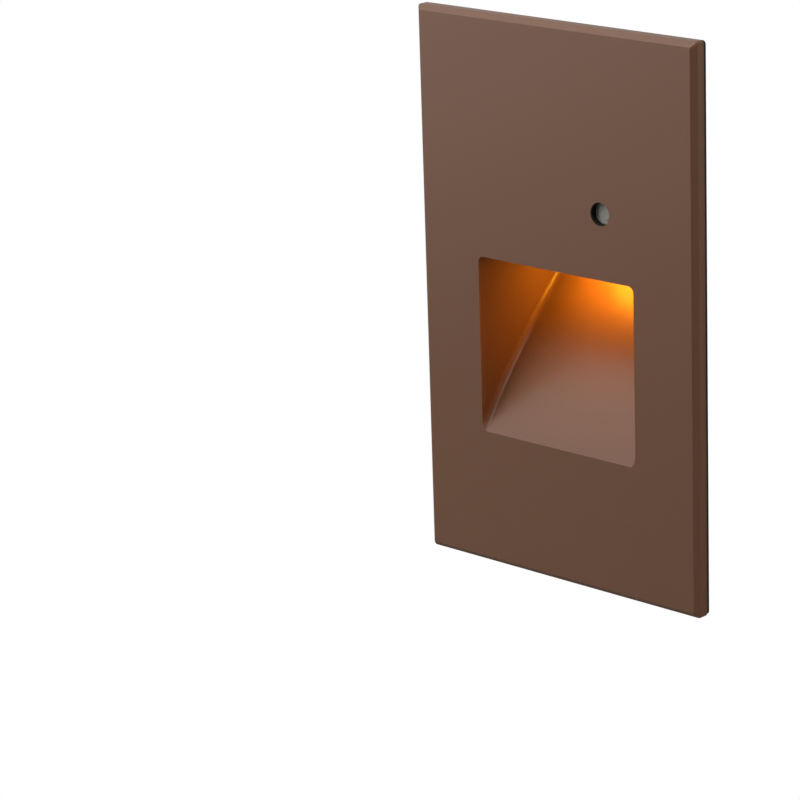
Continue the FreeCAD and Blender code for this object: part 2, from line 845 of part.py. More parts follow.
# --- Driver board and what it carries -------------------------------------------
def driver_board():
    """Circuit board on the side rails and two front posts."""
    span = (driver_z, driver_top)
    half = driver_board_width / 2
    board = block((-half, half), (driver_front_y, driver_back_y), span)
    board = board.makeFillet(edge_bevel, edges_along(board, "Z"))
    holes = []
    for side in (-1, 1):
        holes.append((side * driver_screw_x, driver_screw_y, screw_r + head_clearance))
        holes.append((side * leg_pitch, header_y(), header_pin_hole_r))
        holes.append((sensor_x + side * leg_pitch / 2, leg_bend_y(), 2 * leg_r))
    for i in (-1, 0, 1):
        x = choke_x + i * lead_hole_pitch
        holes.append((x, driver_back_y - 2 * lead_hole_r, lead_hole_r))
    for x, y, r in holes:
        board = board.cut(rod(r, Vector(x, y, span[0]), Vector(x, y, span[1])))
    return board


def driver_screws():
    """Two screws at the front of the driver board."""
    spots = [Vector(side * driver_screw_x, driver_screw_y, driver_top) for side in (-1, 1)]
    return [screw(spot, Vector(0, 0, -1), driver_board_thickness) for spot in spots]


def on_board(x, setback, size):
    """Block that stands on the driver board, its middle at x and a setback from the face."""
    y = face_y + setback
    return block((x - size[0] / 2, x + size[0] / 2), (y - size[1] / 2, y + size[1] / 2),
                 (driver_top, driver_top + size[2]))


def filter_capacitor():
    """Electrolytic can lying on the board, with its rolled groove."""
    y, z = face_y + capacitor_setback, driver_top + capacitor_r
    start = capacitor_x - capacitor_length / 2
    can = rod(capacitor_r, Vector(start, y, z), Vector(start + capacitor_length, y, z))
    can = can.makeFillet(capacitor_r / 6, can.Edges)
    groove = Part.makeTorus(capacitor_r, capacitor_r / 8, Vector(start + capacitor_length / 8, y, z),
                            Vector(1, 0, 0))
    return can.cut(groove)


def on_choke_axis(z):
    """Point on the choke's axis, in front of the link pins."""
    return Vector(choke_x, header_y() - choke_pin_gap, z)


def choke_core():
    """Drum-shaped ferrite core."""
    base = on_choke_axis(driver_top)
    up = Vector(0, 0, 1)
    low = Part.makeCylinder(choke_flange_r, choke_flange_height, base)
    top_flange = base + up * (choke_height - choke_flange_height)
    high = Part.makeCylinder(choke_flange_r, choke_flange_height, top_flange)
    return joined([Part.makeCylinder(choke_core_r, choke_height, base), low, high])


def choke_winding():
    """Wound wire between the core's flanges, as one ring."""
    base = on_choke_axis(driver_top + choke_flange_height)
    height = choke_height - 2 * choke_flange_height
    outer = Part.makeCylinder(choke_winding_r, height, base)
    return outer.cut(Part.makeCylinder(choke_core_r, height, base))


def bridge_rectifier():
    """Moulded rectifier body."""
    body = on_board(rectifier_x, rectifier_setback, rectifier_size)
    return body.makeChamfer(rectifier_size[2] / 5, edges_along(body, "Y"))


def fuse():
    """Upright round fuse."""
    body = Part.makeCylinder(fuse_r, fuse_height, Vector(fuse_x, face_y + fuse_setback, driver_top))
    top = [e for e in body.Edges if e.BoundBox.ZMin > driver_top + fuse_height / 2]
    return body.makeFillet(fuse_r / 6, top)


def varistor():
    """Disc that stands on edge on the board."""
    y, z = face_y + varistor_setback, driver_top + varistor_r
    half = varistor_thickness / 2
    disc = rod(varistor_r, Vector(varistor_x - half, y, z), Vector(varistor_x + half, y, z))
    return disc.makeFillet(half / 2, disc.Edges)


def driver_chip():
    """Eight-legged control chip."""
    body = on_board(chip_x, chip_setback, chip_size)
    legs = []
    for i in range(4):
        x = chip_x + (i - 1.5) * leg_pitch / 2
        size = (chip_leg_width, chip_size[1] + 2 * chip_leg_reach, chip_size[2] / 3)
        legs.append(on_board(x, chip_setback, size))
    return joined([body] + legs)


def chip_resistors():
    """Row of small flat resistors."""
    row = []
    for i in range(resistor_count):
        column, rank = i % 2, i // 2
        x = resistor_x + column * resistor_pitch
        row.append(on_board(x, resistor_setback + rank * resistor_rank, resistor_size))
    return row


# --- Daylight sensor ------------------------------------------------------------
def on_sensor_axis(y):
    """Point on the sensor's axis at depth y."""
    return Vector(sensor_x, y, sensor_z)


def sensor_seat_y():
    """Step in the sleeve that the window and the sensor meet at."""
    return face_y + window_setback + window_thickness


def leg_bend_y():
    """Depth at which the sensor's legs turn down to the board."""
    return sensor_seat_y() + sensor_length + leg_reach


def sensor_sleeve():
    """Black sleeve that lines the hole and holds window and sensor."""
    shoulder = inner_face_y + seal_thickness
    nose_r = sensor_bore_r + sleeve_nose_wall
    front = face_y + sensor_lip + sleeve_nose_gap
    nose = rod(nose_r, on_sensor_axis(front), on_sensor_axis(shoulder + 1))
    barrel = rod(sleeve_r, on_sensor_axis(shoulder), on_sensor_axis(shoulder + sleeve_length))
    seat = sensor_seat_y()
    front_bore = rod(sensor_bore_r, on_sensor_axis(face_y - 1), on_sensor_axis(seat))
    back_bore = rod(sensor_r + sleeve_clearance, on_sensor_axis(seat - 1),
                    on_sensor_axis(shoulder + sleeve_length + 1))
    return joined([nose, barrel]).cut([front_bore, back_bore])


def sleeve_seal():
    """Ring between the sleeve's shoulder and the face."""
    start, end = on_sensor_axis(inner_face_y), on_sensor_axis(inner_face_y + seal_thickness)
    hole_r = sensor_bore_r + sleeve_nose_wall + sleeve_clearance
    return rod(sleeve_r, start, end).cut(rod(hole_r, start, end))


def sensor_window():
    """Clear disc in the mouth of the sleeve, with a groove round its face."""
    start = face_y + window_setback
    disc = rod(sensor_bore_r - sleeve_clearance, on_sensor_axis(start),
               on_sensor_axis(start + window_thickness))
    front = [e for e in disc.Edges if e.BoundBox.YMax < start + window_thickness / 2]
    groove = Part.makeTorus(window_groove_r, window_groove_depth, on_sensor_axis(start), Vector(0, 1, 0))
    return disc.makeFillet(window_edge_r, front).cut(groove)


def photocell():
    """Round light sensor with a flange at its back."""
    seat = sensor_seat_y()
    body = rod(sensor_r, on_sensor_axis(seat), on_sensor_axis(seat + sensor_length))
    flange_y = inner_face_y + seal_thickness + sleeve_length
    flange = rod(sensor_flange_r, on_sensor_axis(flange_y),
                 on_sensor_axis(flange_y + sensor_flange_height))
    return joined([body, flange])


def photocell_legs():
    """Two wire legs, bent down into the driver board."""
    flange_back = inner_face_y + seal_thickness + sleeve_length + sensor_flange_height
    start_y = max(sensor_seat_y() + sensor_length, flange_back)
    bend = 4 * leg_r
    legs = []
    for side in (-1, 1):
        x = sensor_x + side * leg_pitch / 2
        first = Vector(x, start_y, sensor_z)
        turn_in = Vector(x, leg_bend_y() - bend, sensor_z)
        turn_out = Vector(x, leg_bend_y(), sensor_z - bend)
        centre = Vector(x, leg_bend_y() - bend, sensor_z - bend)
        middle = centre + Vector(0, bend, bend) * math.sqrt(0.5)
        last = Vector(x, leg_bend_y(), driver_z - leg_tail)
        bend_arc = Part.Arc(turn_in, middle, turn_out).toShape()
        path = Part.Wire([Part.makeLine(first, turn_in), bend_arc, Part.makeLine(turn_out, last)])
        ring = Part.Wire(Part.makeCircle(leg_r, first, Vector(0, 1, 0)))
        legs.append(path.makePipeShell([ring], True, False))
    return legs


# --- Bracket and latches --------------------------------------------------------
def mounting_bracket():
    """Steel plate for the wall box, with a window for the body."""
    span = (bracket_front_y, wall_y)
    plate = rounded_slab(bracket_half_width, -bracket_half_height, bracket_half_height,
                         bracket_corner_r, span)
    half = outer_half_width + window_side_gap
    window = rounded_slab(half, window_bottom, window_top, window_corner_r, span)
    slots = [screw_slot(side * box_screw_spacing / 2, span) for side in (-1, 1)]
    return plate.cut([window] + slots + wall_holes(span))


def wall_holes(span):
    """Round hole in each corner of the bracket."""
    x, z = bracket_half_width - wall_hole_inset, bracket_half_height - wall_hole_inset
    holes = []
    for side, end in ((-1, -1), (-1, 1), (1, -1), (1, 1)):
        front, back = [Vector(side * x, y, end * z) for y in span]
        holes.append(rod(wall_hole_r, front, back))
    return holes


def screw_slot(z, span):
    """Upright slot for one box screw."""
    r = box_screw_hole_r
    half = box_screw_slot / 2 - r
    ends = [rod(r, Vector(0, span[0], z + end), Vector(0, span[1], z + end)) for end in (-half, half)]
    return joined([block((-r, r), span, (z - half, z + half))] + ends)


def latch_corner(start, corner, end, side):
    """Mitred corner of the latch's sheet, half a thickness to one side."""
    first = (corner - start).normalize()
    second = (end - corner).normalize()
    n1, n2 = Vector(0, -first.z, first.y), Vector(0, -second.z, second.y)
    middle = (n1 + n2).normalize()
    return corner + middle * (side * latch_sheet / 2 / middle.dot(n1))


def arm_ends():
    """Ends of the arm's middle line: where it leaves the eye, and its peak."""
    pivot = Vector(0, latch_pivot_y, pivot_z)
    peak = Vector(0, latch_peak_y, window_top + latch_peak_rise)
    mid_r = pin_r + latch_pivot_clearance + latch_sheet / 2
    return pivot + tangent_from(peak - pivot, mid_r, -1), peak


def tangent_from(target, radius, side):
    """Spot on a circle round the origin where the line from a target touches it."""
    angle = math.atan2(target.z, target.y) + side * math.acos(radius / target.Length)
    return Vector(0, math.cos(angle), math.sin(angle)) * radius


def latch():
    """Upper latch: rolled eye on the pin, sprung arm and bent hook."""
    pivot = Vector(0, latch_pivot_y, pivot_z)
    inner_r = pin_r + latch_pivot_clearance
    outer_r = inner_r + latch_sheet
    root, peak = arm_ends()
    tip = Vector(0, latch_tip_y, window_top - latch_tip_drop)
    arm = (peak - root).normalize()
    leg = (tip - peak).normalize()
    arm_side = Vector(0, -arm.z, arm.y) * (latch_sheet / 2)
    leg_side = Vector(0, -leg.z, leg.y) * (latch_sheet / 2)
    corners = [root + arm_side, latch_corner(root, peak, tip, 1), tip + leg_side,
               tip - leg_side, latch_corner(root, peak, tip, -1), root - arm_side]
    side_face = Part.Face(Part.makePolygon(corners + corners[:1]))
    sheet = side_face.extrude(Vector(2 * latch_half_width, 0, 0))
    bend_edges = []
    for edge in edges_along(sheet, "X"):
        if (edge.CenterOfMass - peak - Vector(latch_half_width, 0, 0)).Length < latch_sheet:
            bend_edges.append(edge)
    sheet = sheet.makeFillet(latch_bend_r, bend_edges)
    axis_end = Vector(2 * latch_half_width, 0, 0)
    eye = rod(outer_r, pivot, pivot + axis_end)
    body = joined([sheet, eye]).cut(rod(inner_r, pivot, pivot + axis_end))
    body = body.cut(eye_gap(root - pivot, inner_r, outer_r))
    body.translate(Vector(-latch_half_width, 0, 0))
    low, high = pivot_z - 2 * outer_r, window_top + 2 * outer_r
    fork = block((-fork_half_gap, fork_half_gap), (face_y, latch_peak_y + fork_depth), (low, high))
    coil_gap = block((-coil_half_room, coil_half_room),
                     (latch_pivot_y - coil_front_room, latch_pivot_y + 2 * outer_r), (low, high))
    return body.cut([fork, coil_gap])


def eye_gap(root, inner_r, outer_r):
    """Slit along the eye where the rolled sheet ends, beside the arm."""
    turn = math.degrees(math.atan2(root.z, root.y)) + eye_slit_turn
    spare = eye_slit / 2
    slit = block((0, 2 * latch_half_width), (inner_r - spare, outer_r + spare), (-spare, spare))
    slit.rotate(Vector(0, 0, 0), Vector(1, 0, 0), turn)
    slit.translate(Vector(0, latch_pivot_y, pivot_z))
    return slit


def latch_pin():
    """Upper pin, headed at both ends outside its lugs."""
    start = Vector(-lug_outer_x, latch_pivot_y, pivot_z)
    end = Vector(lug_outer_x, latch_pivot_y, pivot_z)
    step = Vector(pin_head_height, 0, 0)
    heads = [rod(pin_head_r, start - step, start), rod(pin_head_r, end, end + step)]
    return joined([rod(pin_r, start, end)] + heads)


def spring_leg_tips():
    """Where the spring's legs end: on the body, and under the latch's arm."""
    y = latch_pivot_y - spring_leg
    stand_off = spring_wire_r + spring_clearance
    root, peak = arm_ends()
    slope = (peak.z - root.z) / (root.y - peak.y)
    arm_z = root.z + slope * (root.y - y) - math.hypot(1, slope) * (latch_sheet / 2 + stand_off)
    return Vector(0, y, window_top - latch_room + stand_off), Vector(0, y, arm_z)


def latch_spring():
    """Torsion spring: one leg on the body, coils on the pin, one leg under the arm."""
    pivot = Vector(0, latch_pivot_y, pivot_z)
    seat_tip, arm_tip = spring_leg_tips()
    start = tangent_from(seat_tip - pivot, spring_r, 1)
    end = tangent_from(arm_tip - pivot, spring_r, -1)
    first = math.degrees(math.atan2(start.z, start.y))
    turned = math.degrees(math.atan2(end.z, end.y)) - first + 360 * spring_turns
    length = spring_pitch * turned / 360
    coil = Part.makeHelix(spring_pitch, length, spring_r)
    coil = coil.transformGeometry(FreeCAD.Matrix(0, 0, 1, 0, 1, 0, 0, 0, 0, 1, 0, 0, 0, 0, 0, 1))
    coil.rotate(Vector(0, 0, 0), Vector(1, 0, 0), first)
    coil.translate(pivot + Vector(-length / 2, 0, 0))

    slant = spring_pitch / (2 * math.pi * spring_r)
    start += pivot + Vector(-length / 2, 0, 0)
    end += pivot + Vector(length / 2, 0, 0)
    seat_run = Vector(-slant * spring_leg, seat_tip.y - start.y, seat_tip.z - start.z)
    arm_run = Vector(slant * spring_leg, arm_tip.y - end.y, arm_tip.z - end.z)
    path = Part.Wire([Part.makeLine(start + seat_run, start)] + coil.Edges
                     + [Part.makeLine(end, end + arm_run)])
    ring = Part.Wire(Part.makeCircle(spring_wire_r, start + seat_run, seat_run))
    return path.makePipeShell([ring], True, False)


# --- Write every node -----------------------------------------------------------
os.makedirs("parts", exist_ok=True)

save("face_plate", [face_plate()])
save("wall_gasket", [wall_gasket()])
save("mounting_bracket", [mounting_bracket()])
save("rear_cover", [rear_cover()])
save("cover_gasket", [cover_gasket()])
save("cover_screws", cover_screws())
save("lead_gland", [lead_gland()])
save("ground_screw", [ground_screw()])

save("light_lens", [light_lens()])
save("lens_gasket", [lens_gasket()])
save("led_board", [led_board()])
save("led_chips", led_chips())
save("heat_spreader", [heat_spreader()])
save("led_screws", led_screws())
save("link_header", [link_header()])
save("link_pins", link_pins())

save("driver_board", [driver_board()])
save("driver_screws", driver_screws())
save("filter_capacitor", [filter_capacitor()])
save("choke_core", [choke_core()])
save("choke_winding", [choke_winding()])
save("bridge_rectifier", [bridge_rectifier()])
save("fuse", [fuse()])
save("varistor", [varistor()])
save("driver_chip", [driver_chip()])
save("chip_resistors", chip_resistors())

save("sensor_sleeve", [sensor_sleeve()])
save("sleeve_seal", [sleeve_seal()])
save("sensor_window", [sensor_window()])
save("photocell", [photocell()])
save("photocell_legs", photocell_legs())

save("latch_top", [latch()])
save("latch_bottom", [flipped(latch())])
save("latch_pins", [latch_pin(), flipped(latch_pin())])
save("spring_top", [latch_spring()])
save("spring_bottom", [flipped(latch_spring())])
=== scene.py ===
"""Recessed step light for a wall box: its finishes, its fine pieces and a plain studio."""

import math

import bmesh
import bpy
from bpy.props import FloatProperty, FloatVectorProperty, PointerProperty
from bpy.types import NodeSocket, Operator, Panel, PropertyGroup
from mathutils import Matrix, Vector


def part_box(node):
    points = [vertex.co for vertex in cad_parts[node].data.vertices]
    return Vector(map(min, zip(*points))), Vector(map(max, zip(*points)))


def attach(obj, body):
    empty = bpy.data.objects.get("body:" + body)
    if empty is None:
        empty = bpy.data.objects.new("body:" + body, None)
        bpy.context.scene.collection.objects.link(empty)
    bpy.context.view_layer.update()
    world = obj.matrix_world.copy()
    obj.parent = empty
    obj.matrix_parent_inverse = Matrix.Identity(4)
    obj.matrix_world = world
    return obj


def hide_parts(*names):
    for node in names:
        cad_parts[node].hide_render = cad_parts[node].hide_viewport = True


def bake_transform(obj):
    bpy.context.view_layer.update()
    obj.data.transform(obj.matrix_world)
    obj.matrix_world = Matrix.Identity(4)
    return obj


bl_info = {
    "name": "Step light",
    "version": (1, 0, 0),
    "blender": (4, 5, 0),
    "location": "View3D > Sidebar > Step light",
    "description": "Dresses the step light's parts and sets up its studio",
    "category": "Object",
}

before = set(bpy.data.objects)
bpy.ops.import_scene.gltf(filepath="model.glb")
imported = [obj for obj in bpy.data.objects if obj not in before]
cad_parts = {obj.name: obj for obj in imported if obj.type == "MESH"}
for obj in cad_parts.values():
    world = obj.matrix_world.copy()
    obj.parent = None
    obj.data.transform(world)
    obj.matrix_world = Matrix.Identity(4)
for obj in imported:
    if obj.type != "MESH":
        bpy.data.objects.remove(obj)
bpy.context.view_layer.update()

MM = 0.001
CAD_WELD = 0.0005 * MM          # corners of the CAD's loose triangles nearer than this are one
WELD = 0.002 * MM               # the same for the pieces modelled here
FLAT_ANGLE = math.radians(0.3)  # triangles nearer to flat than this make one face
SHARP_ANGLE = math.radians(28)  # edges sharper than this get rounded
COLOUR_A, COLOUR_B, COLOUR_OUT = 6, 7, 2  # the colour sockets of a Mix node


def linear(hex_colour, alpha=True):
    """An sRGB hex colour as linear light."""
    text = hex_colour.lstrip("#")
    found = []
    for i in range(0, 6, 2):
        share = int(text[i:i + 2], 16) / 255
        found.append(share / 12.92 if share <= 0.04045 else ((share + 0.055) / 1.055) ** 2.4)
    return (*found, 1.0) if alpha else tuple(found)


# --- Sizes and colours that a user may change --------------------------------------
class StepLightCasting(PropertyGroup):
    """The painted casting."""

    edge_round: FloatProperty(
        name="Edge round", description="Radius left by the paint on each machined edge",
        default=0.16 * MM, unit="LENGTH")
    paint: FloatVectorProperty(
        name="Paint", description="Colour of the powder coat", size=4, min=0, max=1,
        default=linear("#6A4A37"), subtype="COLOR")
    peel: FloatProperty(
        name="Orange peel", description="Size of one ripple in the powder coat",
        default=0.9 * MM, unit="LENGTH")


class StepLightScrews(PropertyGroup):
    """The small screws."""

    pitch: FloatProperty(
        name="Thread pitch", description="Distance from one turn of the thread to the next",
        default=0.45 * MM, unit="LENGTH")
    head_height: FloatProperty(
        name="Head height", description="Height of a screw's domed head",
        default=1.5 * MM, unit="LENGTH")
    shank: FloatProperty(
        name="Shank radius", description="Radius over the thread", default=1.25 * MM,
        unit="LENGTH")
    slot: FloatProperty(
        name="Slot depth", description="Depth of the driver slot in a screw's head",
        default=0.65 * MM, unit="LENGTH")


class StepLightGlow(PropertyGroup):
    """The light that leaves the lens."""

    colour: FloatVectorProperty(
        name="Light colour", description="Amber of the light sources", size=4, min=0, max=1,
        default=linear("#FFAA22"), subtype="COLOR")
    lens_strength: FloatProperty(
        name="Lens brightness", description="How bright the lens itself looks, with 1 as white",
        default=3.0, min=0.0)
    lamp_power: FloatProperty(
        name="Lamp power", description="Light sent down into the pocket",
        default=0.027, unit="POWER")


class StepLightStudio(PropertyGroup):
    """Camera, backdrop and lamps."""

    camera_place: FloatVectorProperty(
        name="Camera", description="Where the camera stands", size=3,
        default=(0.4812, -0.5478, 0.19995), subtype="TRANSLATION", unit="LENGTH")
    camera_yaw: FloatProperty(
        name="Yaw", description="Turn of the camera to the left of straight on",
        default=math.radians(44.24), unit="ROTATION")
    camera_pitch: FloatProperty(
        name="Pitch", description="How far the camera looks down",
        default=math.radians(16.85), unit="ROTATION")
    camera_roll: FloatProperty(
        name="Roll", description="Tilt of the camera's own frame",
        default=math.radians(-1.9), unit="ROTATION")
    camera_lens: FloatProperty(
        name="Focal length", description="Focal length on a 36 mm sensor, in millimetres",
        default=154.36, min=1.0)
    floor_drop: FloatProperty(
        name="Floor", description="Height of the floor below the light's middle",
        default=0.32, unit="LENGTH")
    room_light: FloatProperty(
        name="Room light", description="Even light from all sides", default=0.12, min=0.0)
    key_power: FloatProperty(
        name="Key light", description="Tall panel at the left", default=6.8, unit="POWER")
    top_power: FloatProperty(
        name="Top light", description="Soft box overhead", default=2.0, unit="POWER")
    side_power: FloatProperty(
        name="Side light", description="Narrow strip at the right, level with the wall",
        default=1.6, unit="POWER")
    rear_power: FloatProperty(
        name="Rear light", description="Soft box behind the wall", default=6.0, unit="POWER")


# --- Shader helpers ----------------------------------------------------------------
def new_material(name):
    """An empty material; returns it with its node tree and its output's surface socket."""
    material = bpy.data.materials.new(name)
    material.use_nodes = True
    tree = material.node_tree
    tree.nodes.clear()
    output = tree.nodes.new("ShaderNodeOutputMaterial")
    return material, tree, output.inputs["Surface"]


def add(tree, kind, inputs=None, **settings):
    """Adds one node with its settings; each input is a value or another node's socket."""
    made = tree.nodes.new(kind)
    for key, value in settings.items():
        setattr(made, key, value)
    for key, value in (inputs or {}).items():
        if isinstance(value, NodeSocket):
            tree.links.new(value, made.inputs[key])
        else:
            made.inputs[key].default_value = value
    return made


def per_size(size):
    """Pattern scale that gives features of that real size."""
    return 1.0 / size


def surface(name, colour, pattern=None, stretch=(1, 1, 1), shades=(1.0, 1.0), bump=0.0,
            coarse=0.0, **shader):
    """A solid finish: a noise of real size varies its colour, gloss and relief."""
    material, tree, out = new_material(name)
    values = {"Base Color": colour, **shader}
    if pattern:
        place = add(tree, "ShaderNodeTexCoord")
        spread = add(tree, "ShaderNodeMapping", {
            "Vector": place.outputs["Object"], "Scale": stretch})
        noise = add(tree, "ShaderNodeTexNoise", {
            "Vector": spread.outputs["Vector"], "Scale": per_size(pattern), "Detail": 3.0})
        dark = [c * shades[0] for c in colour[:3]] + [1.0]
        pale = [min(1.0, c * shades[1]) for c in colour[:3]] + [1.0]
        mix = add(tree, "ShaderNodeMix", {
            "Factor": noise.outputs["Fac"], COLOUR_A: dark, COLOUR_B: pale}, data_type="RGBA")
        values["Base Color"] = mix.outputs[COLOUR_OUT]
        if coarse:
            gloss = add(tree, "ShaderNodeMapRange", {
                "Value": noise.outputs["Fac"], "To Min": shader["Roughness"] - coarse,
                "To Max": shader["Roughness"] + coarse})
            values["Roughness"] = gloss.outputs["Result"]
        if bump:
            relief = add(tree, "ShaderNodeBump", {
                "Height": noise.outputs["Fac"], "Strength": 0.6, "Distance": bump})
            values["Normal"] = relief.outputs["Normal"]
    bsdf = add(tree, "ShaderNodeBsdfPrincipled", values)
    tree.links.new(bsdf.outputs["BSDF"], out)
    return material


# --- Finishes ----------------------------------------------------------------------
def powder_coat(casting):
    """Polyester powder coat on die-cast aluminium: satin, with a faint orange peel."""
    return surface("powder_coat", casting.paint, pattern=casting.peel, shades=(0.985, 1.015),
                   bump=0.004 * MM, coarse=0.03, Roughness=0.3, IOR=1.5,
                   **{"Specular IOR Level": 0.25})


def foam_rubber():
    """Closed-cell EPDM foam: matt black, with cells about 0.4 mm across."""
    return surface("foam_rubber", linear("#191817"), pattern=0.4 * MM, shades=(0.6, 1.5),
                   bump=0.05 * MM, Roughness=0.92, IOR=1.5)


def silicone_rubber():
    """Moulded silicone rubber: dark, soft sheen, smooth apart from the mould's grain."""
    return surface("silicone_rubber", linear("#232325"), pattern=0.3 * MM, shades=(0.9, 1.1),
                   bump=0.006 * MM, Roughness=0.55, IOR=1.41)


def zinc_plated_steel():
    """Cold-rolled steel, zinc plated and clear passivated: pale grey with rolling lines."""
    return surface("zinc_plated_steel", linear("#C4C6C6"), pattern=0.25 * MM, stretch=(1, 1, 0.04),
                   shades=(0.9, 1.03), bump=0.003 * MM, coarse=0.06, Metallic=1.0, Roughness=0.38)


def spring_steel():
    """Hardened spring strip: bright rolled grey, the grain along the strip."""
    return surface("spring_steel", linear("#A6A7A9"), pattern=0.2 * MM, stretch=(1, 0.05, 0.05),
                   shades=(0.9, 1.05), bump=0.002 * MM, coarse=0.05, Metallic=1.0, Roughness=0.3)


def spring_wire():
    """Drawn stainless wire: bright, with faint die marks."""
    return surface("spring_wire", linear("#B4B3AF"), pattern=0.15 * MM, shades=(0.92, 1.04),
                   coarse=0.04, Metallic=1.0, Roughness=0.25)


def zinc_screw():
    """Zinc-plated screw with a blue passivate: bright and slightly cool."""
    return surface("zinc_screw", linear("#C9CDD1"), pattern=0.5 * MM, shades=(0.93, 1.03),
                   coarse=0.05, Metallic=1.0, Roughness=0.28)


def green_screw():
    """Ground screw, zinc plated and dyed green."""
    return surface("green_screw", linear("#3C8A4E"), pattern=0.5 * MM, shades=(0.9, 1.05),
                   coarse=0.05, Metallic=1.0, Roughness=0.35)


def moulded_black():
    """Glass-filled nylon moulded in a spark-eroded tool: matt black with a fine grain."""
    return surface("moulded_black", linear("#262627"), pattern=0.35 * MM, shades=(0.88, 1.12),
                   bump=0.018 * MM, coarse=0.05, Roughness=0.55, IOR=1.53)


def sensor_black():
    """Polycarbonate of the sensor's sleeve: deep black, so that no stray light gets in."""
    return surface("sensor_black", linear("#080606"), pattern=0.3 * MM, shades=(0.85, 1.15),
                   bump=0.006 * MM, Roughness=0.6, IOR=1.58)


def rolled_aluminium():
    """Mill-finish aluminium sheet: rolling lines along its length."""
    return surface("rolled_aluminium", linear("#D6D7D8"), pattern=0.2 * MM, stretch=(0.04, 1, 1),
                   shades=(0.92, 1.03), bump=0.003 * MM, coarse=0.06, Metallic=1.0, Roughness=0.35)


def white_solder_mask():
    """White solder mask on a metal-core board: glossy, faintly uneven."""
    return surface("white_solder_mask", linear("#E6E6E1"), pattern=0.8 * MM, shades=(0.97, 1.0),
                   bump=0.004 * MM, Roughness=0.3, IOR=1.5)


def green_solder_mask():
    """Green solder mask on a glass-epoxy board: copper tracks 0.5 mm wide show through it."""
    material, tree, out = new_material("green_solder_mask")
    place = add(tree, "ShaderNodeTexCoord")
    weave = add(tree, "ShaderNodeTexVoronoi", {
        "Vector": place.outputs["Object"], "Scale": per_size(3.2 * MM), "Randomness": 0.55},
        feature="DISTANCE_TO_EDGE", distance="CHEBYCHEV")
    track = add(tree, "ShaderNodeMapRange", {
        "Value": weave.outputs["Distance"], "From Min": 0.06, "From Max": 0.09})
    mix = add(tree, "ShaderNodeMix", {
        "Factor": track.outputs["Result"], COLOUR_A: linear("#2F6E45"),
        COLOUR_B: linear("#174D2C")}, data_type="RGBA")
    relief = add(tree, "ShaderNodeBump", {
        "Height": track.outputs["Result"], "Strength": 0.5, "Distance": 0.03 * MM}, invert=True)
    bsdf = add(tree, "ShaderNodeBsdfPrincipled", {
        "Base Color": mix.outputs[COLOUR_OUT], "Roughness": 0.28, "IOR": 1.5,
        "Normal": relief.outputs["Normal"]})
    tree.links.new(bsdf.outputs["BSDF"], out)
    return material


def enamelled_copper():
    """Enamelled copper wire: warm, glossy lacquer over the metal."""
    return surface("enamelled_copper", linear("#B5622F"), pattern=0.3 * MM, shades=(0.9, 1.06),
                   Metallic=1.0, Roughness=0.25)


def tinned_copper():
    """Tinned copper leads: soft bright grey."""
    return surface("tinned_copper", linear("#CFCFCB"), pattern=0.3 * MM, shades=(0.92, 1.03),
                   Metallic=1.0, Roughness=0.3)


def moulded_epoxy():
    """Black transfer-moulded epoxy of chips and rectifiers: matt, fine filler grain."""
    return surface("moulded_epoxy", linear("#1E1E1F"), pattern=0.12 * MM, shades=(0.85, 1.2),
                   bump=0.006 * MM, Roughness=0.6, IOR=1.55)


def ferrite():
    """Sintered ferrite: dark grey ceramic, dry and slightly rough."""
    return surface("ferrite", linear("#37383A"), pattern=0.2 * MM, shades=(0.85, 1.15),
                   bump=0.01 * MM, Roughness=0.7, IOR=1.7)


def blue_epoxy():
    """Dipped epoxy coat of a varistor: blue, glossy, slightly lumpy."""
    return surface("blue_epoxy", linear("#1F4E8C"), pattern=1.2 * MM, shades=(0.93, 1.05),
                   bump=0.03 * MM, Roughness=0.25, IOR=1.5)


def shrink_sleeve():
    """Shrunk PVC sleeve of a capacitor: dark navy and glossy, with a pale stripe along it."""
    material, tree, out = new_material("shrink_sleeve")
    low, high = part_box("filter_capacitor")
    half_stripe = 1.1 * MM
    place = add(tree, "ShaderNodeTexCoord")
    split = add(tree, "ShaderNodeSeparateXYZ", {"Vector": place.outputs["Object"]})
    across = add(tree, "ShaderNodeMath", {0: split.outputs["Y"], 1: (low.y + high.y) / 2},
                 operation="SUBTRACT")
    aside = add(tree, "ShaderNodeMath", {0: across.outputs[0]}, operation="ABSOLUTE")
    narrow = add(tree, "ShaderNodeMath", {0: aside.outputs[0], 1: half_stripe},
                 operation="LESS_THAN")
    above = add(tree, "ShaderNodeMath", {0: split.outputs["Z"], 1: (low.z + high.z) / 2},
                operation="GREATER_THAN")
    stripe = add(tree, "ShaderNodeMath", {0: narrow.outputs[0], 1: above.outputs[0]},
                 operation="MULTIPLY")
    mix = add(tree, "ShaderNodeMix", {
        "Factor": stripe.outputs[0], COLOUR_A: linear("#1C2333"),
        COLOUR_B: linear("#B9BEC6")}, data_type="RGBA")
    bsdf = add(tree, "ShaderNodeBsdfPrincipled", {
        "Base Color": mix.outputs[COLOUR_OUT], "Roughness": 0.25, "IOR": 1.5})
    tree.links.new(bsdf.outputs["BSDF"], out)
    return material


def clear_acrylic():
    """Moulded clear acrylic over a pale cell: greyish, with a wet gloss."""
    return surface("clear_acrylic", linear("#87877F"), pattern=0.6 * MM, shades=(0.97, 1.03),
                   Roughness=0.12, IOR=1.49)


def cell_ceramic():
    """Light-sensitive layer on a ceramic disc: dull orange-grey."""
    return surface("cell_ceramic", linear("#B9A68C"), pattern=0.3 * MM, shades=(0.92, 1.05),
                   bump=0.004 * MM, Roughness=0.5, IOR=1.6)


def package_white():
    """Moulded white polyamide of a light source's frame."""
    return surface("package_white", linear("#EDEBE4"), pattern=0.2 * MM, shades=(0.97, 1.0),
                   Roughness=0.4, IOR=1.53)


